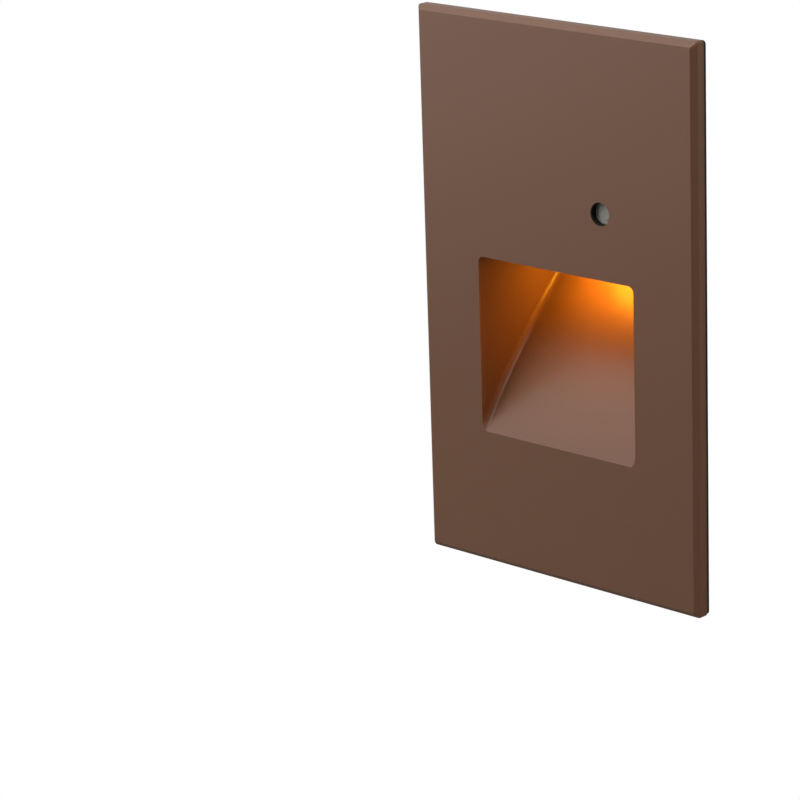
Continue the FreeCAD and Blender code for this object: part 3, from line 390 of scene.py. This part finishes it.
def glowing(name, colour, strength, roughness, base):
    """A lit plastic: its own light over a plain body."""
    material, tree, out = new_material(name)
    bsdf = add(tree, "ShaderNodeBsdfPrincipled", {
        "Base Color": base, "Roughness": roughness, "IOR": 1.5,
        "Emission Color": colour, "Emission Strength": strength})
    tree.links.new(bsdf.outputs["BSDF"], out)
    return material


def lit_lens(glow):
    """Frosted polycarbonate over three light sources: brighter under each of them."""
    material, tree, out = new_material("frosted_polycarbonate")
    low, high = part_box("led_chips")
    size = high.y - low.y
    spacing = (high.x - low.x - size) / 2
    spot_r, fade_r = 0.5 * MM, 6.0 * MM
    place = add(tree, "ShaderNodeTexCoord")
    split = add(tree, "ShaderNodeSeparateXYZ", {"Vector": place.outputs["Object"]})
    across = add(tree, "ShaderNodeMath", {0: split.outputs["X"], 1: spacing / 2},
                 operation="PINGPONG")
    deep = add(tree, "ShaderNodeMath", {0: split.outputs["Y"], 1: (low.y + high.y) / 2},
               operation="SUBTRACT")
    near = add(tree, "ShaderNodeCombineXYZ", {"X": across.outputs[0], "Y": deep.outputs[0]})
    distance = add(tree, "ShaderNodeVectorMath", {0: near.outputs["Vector"]}, operation="LENGTH")
    level = add(tree, "ShaderNodeMapRange", {
        "Value": distance.outputs["Value"], "From Min": spot_r, "From Max": fade_r,
        "To Min": 1.5 * glow.lens_strength, "To Max": 0.35 * glow.lens_strength},
        interpolation_type="SMOOTHSTEP")
    bsdf = add(tree, "ShaderNodeBsdfPrincipled", {
        "Base Color": linear("#F2EFE4"), "Roughness": 0.5, "IOR": 1.58,
        "Emission Color": glow.colour, "Emission Strength": level.outputs["Result"]})
    tree.links.new(bsdf.outputs["BSDF"], out)
    return material


# --- Modelling helpers -------------------------------------------------------------
def start_clean():
    """Leaves edit mode and deselects everything."""
    if bpy.context.object and bpy.context.object.mode != "OBJECT":
        bpy.ops.object.mode_set(mode="OBJECT")
    bpy.ops.object.select_all(action="DESELECT")


def make_active(piece):
    """Selects one piece alone."""
    start_clean()
    piece.select_set(True)
    bpy.context.view_layer.objects.active = piece


def pick(piece, test, kind="FACE"):
    """In edit mode, selects the faces, edges or vertices that pass a test, and only those."""
    bpy.ops.mesh.select_mode(type=kind)
    bpy.ops.mesh.select_all(action="DESELECT")
    shape = bmesh.from_edit_mesh(piece.data)
    items = {"FACE": shape.faces, "EDGE": shape.edges, "VERT": shape.verts}[kind]
    for item in items:
        if test(item):
            item.select_set(True)
    shape.select_flush_mode()
    bmesh.update_edit_mesh(piece.data)


def merged_copy(node, name):
    """A copy of a CAD node whose loose triangles are merged into one skin of flat faces."""
    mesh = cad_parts[node].data.copy()
    mesh.materials.clear()
    piece = bpy.data.objects.new(name, mesh)
    bpy.context.scene.collection.objects.link(piece)
    make_active(piece)
    bpy.ops.mesh.customdata_custom_splitnormals_clear()
    bpy.ops.object.mode_set(mode="EDIT")
    bpy.ops.mesh.select_all(action="SELECT")
    bpy.ops.mesh.remove_doubles(threshold=CAD_WELD)
    bpy.ops.mesh.dissolve_limited(angle_limit=FLAT_ANGLE)
    bpy.ops.object.mode_set(mode="OBJECT")
    return piece


def shade_piece(piece, material, smooth_angle=30):
    """Applies the piece's place, shades it and gives it its finish."""
    make_active(piece)
    bpy.ops.object.transform_apply(location=True, rotation=True, scale=True)
    bpy.ops.object.shade_smooth_by_angle(angle=math.radians(smooth_angle))
    level = piece.modifiers.new("flat_faces", "WEIGHTED_NORMAL")
    level.keep_sharp = True
    level.weight = 100
    bpy.ops.object.modifier_apply(modifier=level.name)
    piece.data.materials.clear()
    piece.data.materials.append(material)


def finish_piece(piece, body, material, smooth_angle=30):
    """Shades the piece, gives it its finish and hangs it on its body."""
    shade_piece(piece, material, smooth_angle)
    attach(piece, body)


def dress(node, material):
    """Gives a carried-over CAD node its finish."""
    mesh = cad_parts[node].data
    mesh.materials.clear()
    mesh.materials.append(material)


def draw_line(name, points):
    """An open line drawn by extruding one point from place to place."""
    start_clean()
    bpy.ops.mesh.primitive_plane_add(size=MM)
    piece = bpy.context.object
    piece.name = name
    bpy.ops.object.mode_set(mode="EDIT")
    bpy.ops.mesh.select_all(action="SELECT")
    bpy.ops.mesh.merge(type="CENTER")
    bpy.ops.transform.translate(value=points[0])
    for before, after in zip(points, points[1:]):
        bpy.ops.mesh.extrude_vertices_move(
            TRANSFORM_OT_translate={"value": Vector(after) - Vector(before)})
    bpy.ops.object.mode_set(mode="OBJECT")
    return piece


def lathe(piece, steps):
    """Turns a line round the Z axis into a closed shape."""
    make_active(piece)
    bpy.ops.object.mode_set(mode="EDIT")
    bpy.ops.mesh.select_all(action="SELECT")
    bpy.ops.mesh.spin(steps=steps, angle=math.radians(360), center=(0, 0, 0), axis=(0, 0, 1))
    bpy.ops.mesh.select_all(action="SELECT")
    bpy.ops.mesh.remove_doubles(threshold=WELD)
    bpy.ops.mesh.normals_make_consistent(inside=False)
    bpy.ops.object.mode_set(mode="OBJECT")


def coil_up(piece, pitch, turns, steps):
    """Winds a line or ring up the Z axis."""
    make_active(piece)
    coil = piece.modifiers.new("coil", "SCREW")
    coil.screw_offset = pitch
    coil.iterations = turns
    coil.steps = coil.render_steps = steps
    bpy.ops.object.modifier_apply(modifier=coil.name)
    bpy.ops.object.mode_set(mode="EDIT")
    bpy.ops.mesh.select_all(action="SELECT")
    bpy.ops.mesh.remove_doubles(threshold=WELD)
    bpy.ops.object.mode_set(mode="OBJECT")


def trim(piece, spot, outward):
    """Cuts off what lies beyond a plane and closes the cut."""
    make_active(piece)
    bpy.ops.object.mode_set(mode="EDIT")
    bpy.ops.mesh.select_all(action="SELECT")
    bpy.ops.mesh.bisect(plane_co=spot, plane_no=outward, use_fill=True, clear_outer=True,
                        threshold=0.001 * MM)
    bpy.ops.mesh.select_all(action="SELECT")
    bpy.ops.mesh.remove_doubles(threshold=WELD)
    bpy.ops.mesh.normals_make_consistent(inside=False)
    bpy.ops.object.mode_set(mode="OBJECT")


def cut_away(piece, middle, size):
    """Cuts a block out of a piece."""
    start_clean()
    bpy.ops.mesh.primitive_cube_add(size=1, location=middle, scale=size)
    block = bpy.context.object
    make_active(piece)
    cut = piece.modifiers.new("cut", "BOOLEAN")
    cut.operation = "DIFFERENCE"
    cut.object = block
    bpy.ops.object.modifier_apply(modifier=cut.name)
    bpy.data.objects.remove(block)


def joined(pieces):
    """Joins pieces into the first of them."""
    make_active(pieces[0])
    for piece in pieces[1:]:
        piece.select_set(True)
    bpy.ops.object.join()
    return pieces[0]


def rounded(node, name, material, width, body="root", segments=2):
    """A node's shape with its sharp edges rounded as its making leaves them."""
    piece = merged_copy(node, name)
    soften = piece.modifiers.new("edges", "BEVEL")
    soften.width = width
    soften.segments = segments
    soften.limit_method = "ANGLE"
    soften.angle_limit = SHARP_ANGLE
    bpy.ops.object.modifier_apply(modifier=soften.name)
    finish_piece(piece, body, material, smooth_angle=20)
    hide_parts(node)
    return piece


# --- Pieces ------------------------------------------------------------------------
class STEPLIGHT_OT_casting(Operator):
    """Round the edges of the casting as paint leaves them and coat it."""

    bl_idname = "steplight.casting"
    bl_label = "Painted casting"

    def execute(self, context):
        casting = context.scene.steplight_casting
        rounded("face_plate", "casting", powder_coat(casting), casting.edge_round)
        return {"FINISHED"}


class STEPLIGHT_OT_bracket(Operator):
    """Round the stamped edges of the bracket and zinc it."""

    bl_idname = "steplight.bracket"
    bl_label = "Wall bracket"

    def execute(self, context):
        rounded("mounting_bracket", "bracket", zinc_plated_steel(), 0.15 * MM)
        return {"FINISHED"}


class STEPLIGHT_OT_latches(Operator):
    """Round the bent strip of the two latches and give springs and pins their finish."""

    bl_idname = "steplight.latches"
    bl_label = "Latches, pins and springs"

    def execute(self, context):
        strip, wire = spring_steel(), spring_wire()
        for side, upward in (("top", 1), ("bottom", -1)):
            latch = "latch_" + side
            rounded(latch, latch + "_strip", strip, 0.1 * MM, body=latch)
            self.spring("spring_" + side, latch, upward, wire)
        rounded("latch_pins", "pins", wire, 0.12 * MM)
        return {"FINISHED"}

    def spring(self, node, latch, upward, wire):
        """A wound spring with its finish, left where it stands on its pin."""
        piece = merged_copy(node, node + "_wire")
        shade_piece(piece, wire, smooth_angle=50)
        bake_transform(piece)
        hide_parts(node)


class STEPLIGHT_OT_cover(Operator):
    """Round the moulded edges of the rear cover and its lead gland."""

    bl_idname = "steplight.cover"
    bl_label = "Rear cover and gland"

    def execute(self, context):
        rounded("rear_cover", "moulded_cover", moulded_black(), 0.25 * MM,
                segments=3)
        rounded("lead_gland", "moulded_gland", silicone_rubber(), 0.2 * MM,
                segments=3)
        return {"FINISHED"}


class STEPLIGHT_OT_seals(Operator):
    """Give the flat seals their foam and silicone."""

    bl_idname = "steplight.seals"
    bl_label = "Seals"

    def execute(self, context):
        foam, silicone = foam_rubber(), silicone_rubber()
        for node in ("wall_gasket", "cover_gasket"):
            dress(node, foam)
        for node in ("lens_gasket", "sleeve_seal"):
            dress(node, silicone)
        return {"FINISHED"}


class STEPLIGHT_OT_screws(Operator):
    """Model one threaded screw for each size and set it in every hole of that size."""

    bl_idname = "steplight.screws"
    bl_label = "Screws"

    def execute(self, context):
        screws = context.scene.steplight_screws
        bright = zinc_screw()
        small_head, ground_head = 2.2 * MM, 2.7 * MM
        along_y, along_z = 1, 2
        for node, axis, head_r, material, slot in (
                ("cover_screws", along_y, small_head, bright, "zinc_steel"),
                ("led_screws", along_z, small_head, bright, "zinc_steel"),
                ("driver_screws", along_z, small_head, bright, "zinc_steel"),
                ("ground_screw", along_z, ground_head, green_screw(), "green_screw")):
            low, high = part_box(node)
            seat = high[axis] - screws.head_height
            first = self.model(screws, head_r, seat - low[axis])
            turn = Matrix.Rotation(math.radians(-90), 4, "X") if axis == along_y else Matrix()
            for number, spot in enumerate(self.spots(low, high, axis, head_r, seat)):
                piece = first.copy()
                piece.data = first.data.copy()
                piece.name = "{}_{}".format(node, number + 1)
                context.scene.collection.objects.link(piece)
                wound = Matrix.Rotation(math.radians(37 * number + 12), 4, "Z")
                piece.matrix_world = Matrix.Translation(spot) @ turn @ wound
                finish_piece(piece, "root", material)
                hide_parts(node)
            bpy.data.objects.remove(first)
        return {"FINISHED"}

    def spots(self, low, high, axis, head_r, seat):
        """Where the screws sit: near both ends of each side that is long enough for two."""
        choices = []
        for i in range(3):
            if i == axis:
                choices.append([seat])
            elif high[i] - low[i] > 4 * head_r:
                choices.append([low[i] + head_r, high[i] - head_r])
            else:
                choices.append([(low[i] + high[i]) / 2])
        return [Vector((x, y, z)) for x in choices[0] for y in choices[1] for z in choices[2]]

    def model(self, screws, head_r, length):
        """One slotted screw whose seat is at the origin and whose head points up."""
        height = screws.head_height
        dome = [math.radians(angle) for angle in (0, 18, 36, 54, 72, 90)]
        flat_r, side, corner = 0.55 * head_r, 0.35, 0.06 * MM
        profile = [(0, 0, height)]
        profile += [(flat_r + (head_r - flat_r) * math.sin(a), 0,
                     height * (side + (1 - side) * math.cos(a))) for a in dome]
        profile += [(head_r, 0, corner), (head_r - corner, 0, 0), (0, 0, 0)]
        head = draw_line("screw_head", profile)
        lathe(head, 40)
        cut_away(head, (0, 0, height), (3 * head_r, 0.4 * height, 2 * screws.slot))
        pitch, crest, into_head = screws.pitch, screws.shank, 0.3 * MM
        root = crest - 0.55 * pitch
        shank = draw_line("screw_shank", [
            (root, 0, 0), (crest, 0, 0.4 * pitch), (crest, 0, 0.6 * pitch), (root, 0, pitch)])
        turns = math.ceil((length + into_head) / pitch) + 2
        coil_up(shank, pitch, turns, 20)
        shank.data.transform(Matrix.Translation((0, 0, -length - pitch)))
        trim(shank, (0, 0, -length), (0, 0, -1))
        trim(shank, (0, 0, into_head), (0, 0, 1))
        return joined([head, shank])


class STEPLIGHT_OT_light_board(Operator):
    """Model the light sources on their board, light the lens and send light into the pocket."""

    bl_idname = "steplight.light_board"
    bl_label = "Light board and lens"

    def execute(self, context):
        glow = context.scene.steplight_glow
        rounded("led_board", "light_board", white_solder_mask(), 0.08 * MM)
        rounded("heat_spreader", "spreader_plate", rolled_aluminium(), 0.15 * MM)
        self.packages(glow)
        dress("light_lens", lit_lens(glow))
        self.lamp(context, glow)
        return {"FINISHED"}

    def packages(self, glow):
        """Three white frames, each with a shallow cup of phosphor that faces down."""
        white = package_white()
        phosphor = glowing("phosphor", glow.colour, glow.lens_strength, 0.4, linear("#E8B23C"))
        low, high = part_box("led_chips")
        size, height = high.y - low.y, high.z - low.z
        middle = (low + high) / 2
        corner, frame_wall, cup_depth = 0.15 * MM, 0.3 * MM, 0.12 * MM
        for number in range(3):
            x = low.x + size / 2 + number * (high.x - low.x - size) / 2
            start_clean()
            bpy.ops.mesh.primitive_cube_add(size=1, location=(x, middle.y, middle.z),
                                            scale=(size, size, height))
            piece = bpy.context.object
            piece.name = "light_source_{}".format(number + 1)
            bpy.ops.object.transform_apply(location=False, rotation=False, scale=True)
            bpy.ops.object.mode_set(mode="EDIT")
            pick(piece, lambda edge: abs((edge.verts[0].co - edge.verts[1].co).z) > height / 2,
                 kind="EDGE")
            bpy.ops.mesh.bevel(offset=corner, segments=2)
            pick(piece, lambda face: face.normal.z < -0.9)
            bpy.ops.mesh.inset(thickness=frame_wall)
            bpy.ops.mesh.extrude_region_move(TRANSFORM_OT_translate={"value": (0, 0, cup_depth)})
            bpy.ops.transform.resize(value=(0.9, 0.9, 1))
            bpy.ops.object.mode_set(mode="OBJECT")
            finish_piece(piece, "root", white)
            piece.data.materials.append(phosphor)
            cup = [face for face in piece.data.polygons
                   if face.normal.z < -0.9 and face.center.z > low.z + cup_depth / 2]
            for face in cup:
                face.material_index = 1
            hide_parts("led_chips")

    def lamp(self, context, glow):
        """The light that the lens sends down."""
        low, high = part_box("light_lens")
        middle = (low + high) / 2
        forward, under = 1.5 * MM, 0.4 * MM
        start_clean()
        bpy.ops.object.light_add(
            type="AREA", location=(middle.x, middle.y - forward, low.z - under))
        lamp = context.object
        lamp.name = "pocket_lamp"
        lamp.data.shape = "RECTANGLE"
        lamp.data.size = (high.x - low.x) * 0.95
        lamp.data.size_y = (high.y - low.y) * 0.75
        lamp.data.color = glow.colour[:3]
        lamp.data.energy = glow.lamp_power
        lamp.visible_camera = False


class STEPLIGHT_OT_driver(Operator):
    """Wind the choke's wire and finish the driver board and what stands on it."""

    bl_idname = "steplight.driver"
    bl_label = "Driver board"

    def execute(self, context):
        epoxy = moulded_epoxy()
        for node, name, material, width, slot in (
                ("driver_board", "circuit_board", green_solder_mask(), 0.08, "board_green"),
                ("bridge_rectifier", "rectifier_body", epoxy, 0.15, "component_black"),
                ("choke_core", "ferrite_drum", ferrite(), 0.12, "component_black"),
                ("link_header", "header_body", moulded_black(), 0.1, "moulded_black")):
            rounded(node, name, material, width * MM)
        for node in ("driver_chip", "chip_resistors", "fuse"):
            dress(node, epoxy)
        dress("link_pins", tinned_copper())
        dress("varistor", blue_epoxy())
        dress("filter_capacitor", shrink_sleeve())
        self.wire()
        return {"FINISHED"}

    def wire(self):
        """Two layers of wire, one turn against the next, between the drum's flanges."""
        low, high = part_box("choke_winding")
        middle = (low + high) / 2
        turns, nesting = 9, 0.85
        wire = (high.z - low.z) / (turns + 1)
        layers = []
        for layer in range(2):
            radius = (high.x - low.x) / 2 - wire * (0.5 + nesting * layer)
            start_clean()
            bpy.ops.mesh.primitive_circle_add(
                vertices=8, radius=0.48 * wire, location=(radius, 0, wire / 2),
                rotation=(math.radians(90), 0, 0))
            strand = bpy.context.object
            bpy.ops.object.transform_apply(location=True, rotation=True, scale=True)
            coil_up(strand, wire, turns, 28)
            make_active(strand)
            bpy.ops.object.mode_set(mode="EDIT")
            bpy.ops.mesh.select_all(action="SELECT")
            bpy.ops.mesh.fill_holes(sides=0)
            bpy.ops.mesh.normals_make_consistent(inside=False)
            bpy.ops.object.mode_set(mode="OBJECT")
            layers.append(strand)
        piece = joined(layers)
        piece.name = "choke_wire"
        piece.location = (middle.x, middle.y, low.z)
        finish_piece(piece, "root", enamelled_copper())
        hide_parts("choke_winding")


class STEPLIGHT_OT_sensor(Operator):
    """Finish the daylight sensor, its sleeve and its window."""

    bl_idname = "steplight.sensor"
    bl_label = "Daylight sensor"

    def execute(self, context):
        dress("sensor_sleeve", sensor_black())
        dress("sensor_window", clear_acrylic())
        dress("photocell", cell_ceramic())
        dress("photocell_legs", tinned_copper())
        return {"FINISHED"}


# --- Stage -------------------------------------------------------------------------
def backdrop_material():
    """Matt white board seen from its front only: plain white behind the light.

    Gloss sees it with painted shade: darker below the light than above it, as a board lit from
    above.
    """
    dark_below, pale_above = 0.1, 0.5
    painted_shade_start, painted_shade_end = -0.075, 0.06
    material, tree, out = new_material("backdrop_board")
    light = add(tree, "ShaderNodeLightPath")
    direct = add(tree, "ShaderNodeMath", {
        0: light.outputs["Is Camera Ray"], 1: light.outputs["Is Transmission Ray"]},
        operation="MAXIMUM")
    seen = add(tree, "ShaderNodeMath", {
        0: direct.outputs[0], 1: light.outputs["Is Glossy Ray"]}, operation="MAXIMUM")
    place = add(tree, "ShaderNodeTexCoord")
    split = add(tree, "ShaderNodeSeparateXYZ", {"Vector": place.outputs["Object"]})
    # Painted shade in reflections: the strength seen by gloss falls from above the light to below
    # it.
    painted_shade = add(tree, "ShaderNodeMapRange", {
        "Value": split.outputs["Y"], "From Min": painted_shade_start, "From Max": painted_shade_end,
        "To Min": dark_below, "To Max": pale_above})
    level = add(tree, "ShaderNodeMapRange", {
        "Value": direct.outputs[0], "To Min": painted_shade.outputs["Result"]})
    board = add(tree, "ShaderNodeBsdfDiffuse", {"Color": linear("#F3F3F3")})
    white = add(tree, "ShaderNodeEmission", {
        "Color": (1, 1, 1, 1), "Strength": level.outputs["Result"]})
    front = add(tree, "ShaderNodeMixShader", {
        0: seen.outputs[0], 1: board.outputs[0], 2: white.outputs[0]})
    side = add(tree, "ShaderNodeNewGeometry")
    clear = add(tree, "ShaderNodeBsdfTransparent")
    one_sided = add(tree, "ShaderNodeMixShader", {
        0: side.outputs["Backfacing"], 1: front.outputs[0], 2: clear.outputs[0]})
    tree.links.new(one_sided.outputs[0], out)
    return material


def floor_material():
    """Pale matt floor, seen from above only; it keeps the light's shadow."""
    lift = 0.7
    material, tree, out = new_material("pale_floor")
    light = add(tree, "ShaderNodeLightPath")
    board = add(tree, "ShaderNodeBsdfDiffuse", {"Color": linear("#A9A8A5")})
    white = add(tree, "ShaderNodeEmission", {"Color": (1, 1, 1, 1), "Strength": 1.0})
    pale = add(tree, "ShaderNodeMath", {0: light.outputs["Is Camera Ray"], 1: lift},
               operation="MULTIPLY")
    lifted = add(tree, "ShaderNodeMixShader", {
        0: pale.outputs[0], 1: board.outputs[0], 2: white.outputs[0]})
    side = add(tree, "ShaderNodeNewGeometry")
    clear = add(tree, "ShaderNodeBsdfTransparent")
    one_sided = add(tree, "ShaderNodeMixShader", {
        0: side.outputs["Backfacing"], 1: lifted.outputs[0], 2: clear.outputs[0]})
    tree.links.new(one_sided.outputs[0], out)
    return material


def studio_world(room_light):
    """Even light on the object; the camera sees it white, and gloss sees it pale."""
    gloss_light = 0.3
    world = bpy.data.worlds.new("studio")
    world.use_nodes = True
    tree = world.node_tree
    light = add(tree, "ShaderNodeLightPath")
    direct = add(tree, "ShaderNodeMath", {
        0: light.outputs["Is Camera Ray"], 1: light.outputs["Is Transmission Ray"]},
        operation="MAXIMUM")
    gloss = add(tree, "ShaderNodeMapRange", {
        "Value": light.outputs["Is Glossy Ray"], "To Min": room_light, "To Max": gloss_light})
    level = add(tree, "ShaderNodeMapRange", {
        "Value": direct.outputs[0], "To Min": gloss.outputs["Result"]})
    background = tree.nodes["Background"]
    background.inputs["Color"].default_value = (1, 1, 1, 1)
    tree.links.new(level.outputs["Result"], background.inputs["Strength"])
    return world


def soft_box(name, place, aim, size, power):
    """A rectangular lamp of that width and height that faces a spot."""
    start_clean()
    turn = (Vector(aim) - Vector(place)).to_track_quat("-Z", "Y").to_euler()
    bpy.ops.object.light_add(type="AREA", location=place, rotation=turn)
    lamp = bpy.context.object
    lamp.name = name
    lamp.data.shape = "RECTANGLE"
    lamp.data.size, lamp.data.size_y = size
    lamp.data.energy = power
    lamp.visible_camera = False
    return lamp


class STEPLIGHT_OT_stage(Operator):
    """Set up the backdrop, the floor, the lamps and the camera."""

    bl_idname = "steplight.stage"
    bl_label = "Studio"

    def execute(self, context):
        studio = context.scene.steplight_studio
        self.add_wall(studio)
        self.add_floor(studio)
        self.add_lights(context, studio)
        self.add_camera(context, studio)
        return {"FINISHED"}

    def add_wall(self, studio):
        """White wall with a hole where the wall box would be."""
        reach, hole_x, hole_z, gap = 0.9, 26 * MM, 37 * MM, 0.1 * MM
        start_clean()
        bpy.ops.mesh.primitive_grid_add(
            x_subdivisions=3, y_subdivisions=3, size=2, location=(0, gap, 0),
            rotation=(math.radians(90), 0, 0))
        wall = bpy.context.object
        wall.name = "studio_wall"
        bpy.ops.object.mode_set(mode="EDIT")
        pick(wall, lambda face: face.calc_center_median().length < 0.1)
        bpy.ops.mesh.delete(type="FACE")
        bpy.ops.object.mode_set(mode="OBJECT")
        for vertex in wall.data.vertices:
            for axis, hole, low in ((0, hole_x, reach), (1, hole_z, studio.floor_drop)):
                far = reach if axis == 0 or vertex.co.y > 0 else low
                size = far if abs(vertex.co[axis]) > 0.9 else hole
                vertex.co[axis] = math.copysign(size, vertex.co[axis])
        wall.data.materials.append(backdrop_material())

    def add_floor(self, studio):
        """Pale floor below the light."""
        start_clean()
        bpy.ops.mesh.primitive_plane_add(size=6, location=(0, 0, -studio.floor_drop))
        floor = bpy.context.object
        floor.name = "studio_floor"
        floor.data.materials.append(floor_material())

    def add_lights(self, context, studio):
        """Even room light, soft boxes in front, a strip at the right and a box behind the wall."""
        context.scene.world = studio_world(studio.room_light)
        middle = (0, 0, 0)
        soft_box("key_light", (-0.56, -0.48, 0.36), middle, (0.8, 1.3), studio.key_power)
        soft_box("top_light", (-0.08, -0.28, 0.50), middle, (0.3, 0.3), studio.top_power)
        strip = soft_box("side_light", (0.8, -0.012, 0.0), middle, (0.02, 0.5), studio.side_power)
        strip.visible_glossy = False
        soft_box("rear_light", (0.30, 0.62, 0.45), middle, (0.8, 0.6), studio.rear_power)

    def add_camera(self, context, studio):
        """Camera at the photograph's angle."""
        turn = (Matrix.Rotation(studio.camera_yaw, 3, "Z")
                @ Matrix.Rotation(math.radians(90) - studio.camera_pitch, 3, "X")
                @ Matrix.Rotation(studio.camera_roll, 3, "Z"))
        start_clean()
        bpy.ops.object.camera_add(location=studio.camera_place, rotation=turn.to_euler())
        camera = context.object
        camera.name = "camera"
        camera.data.lens = studio.camera_lens
        camera.data.sensor_width = 36
        camera.data.clip_start = 0.01
        camera.data.clip_end = 20
        context.scene.camera = camera


# --- Panel and registration --------------------------------------------------------
STEPS = (STEPLIGHT_OT_casting, STEPLIGHT_OT_bracket, STEPLIGHT_OT_latches, STEPLIGHT_OT_cover,
         STEPLIGHT_OT_seals, STEPLIGHT_OT_screws, STEPLIGHT_OT_light_board,
         STEPLIGHT_OT_driver, STEPLIGHT_OT_sensor, STEPLIGHT_OT_stage)
GROUPS = {"steplight_casting": StepLightCasting, "steplight_screws": StepLightScrews,
          "steplight_glow": StepLightGlow, "steplight_studio": StepLightStudio}


class STEPLIGHT_PT_panel(Panel):
    """Lists the steps that dress the step light."""

    bl_label = "Step light"
    bl_idname = "STEPLIGHT_PT_panel"
    bl_space_type = "VIEW_3D"
    bl_region_type = "UI"
    bl_category = "Step light"

    def draw(self, context):
        for step in STEPS:
            self.layout.operator(step.bl_idname)
        for name, group in GROUPS.items():
            box = self.layout.box()
            for prop in group.__annotations__:
                box.prop(getattr(context.scene, name), prop)


def register():
    for group in GROUPS.values():
        bpy.utils.register_class(group)
    for name, group in GROUPS.items():
        setattr(bpy.types.Scene, name, PointerProperty(type=group))
    for step in STEPS:
        bpy.utils.register_class(step)
    bpy.utils.register_class(STEPLIGHT_PT_panel)


def unregister():
    bpy.utils.unregister_class(STEPLIGHT_PT_panel)
    for step in reversed(STEPS):
        bpy.utils.unregister_class(step)
    for name, group in reversed(GROUPS.items()):
        delattr(bpy.types.Scene, name)
        bpy.utils.unregister_class(group)


def main():
    register()
    scene = bpy.context.scene
    scene.view_settings.view_transform = "Standard"
    bpy.ops.steplight.casting()
    bpy.ops.steplight.bracket()
    bpy.ops.steplight.latches()
    bpy.ops.steplight.cover()
    bpy.ops.steplight.seals()
    bpy.ops.steplight.screws()
    bpy.ops.steplight.light_board()
    bpy.ops.steplight.driver()
    bpy.ops.steplight.sensor()
    bpy.ops.steplight.stage()


if __name__ == "__main__":
    main()
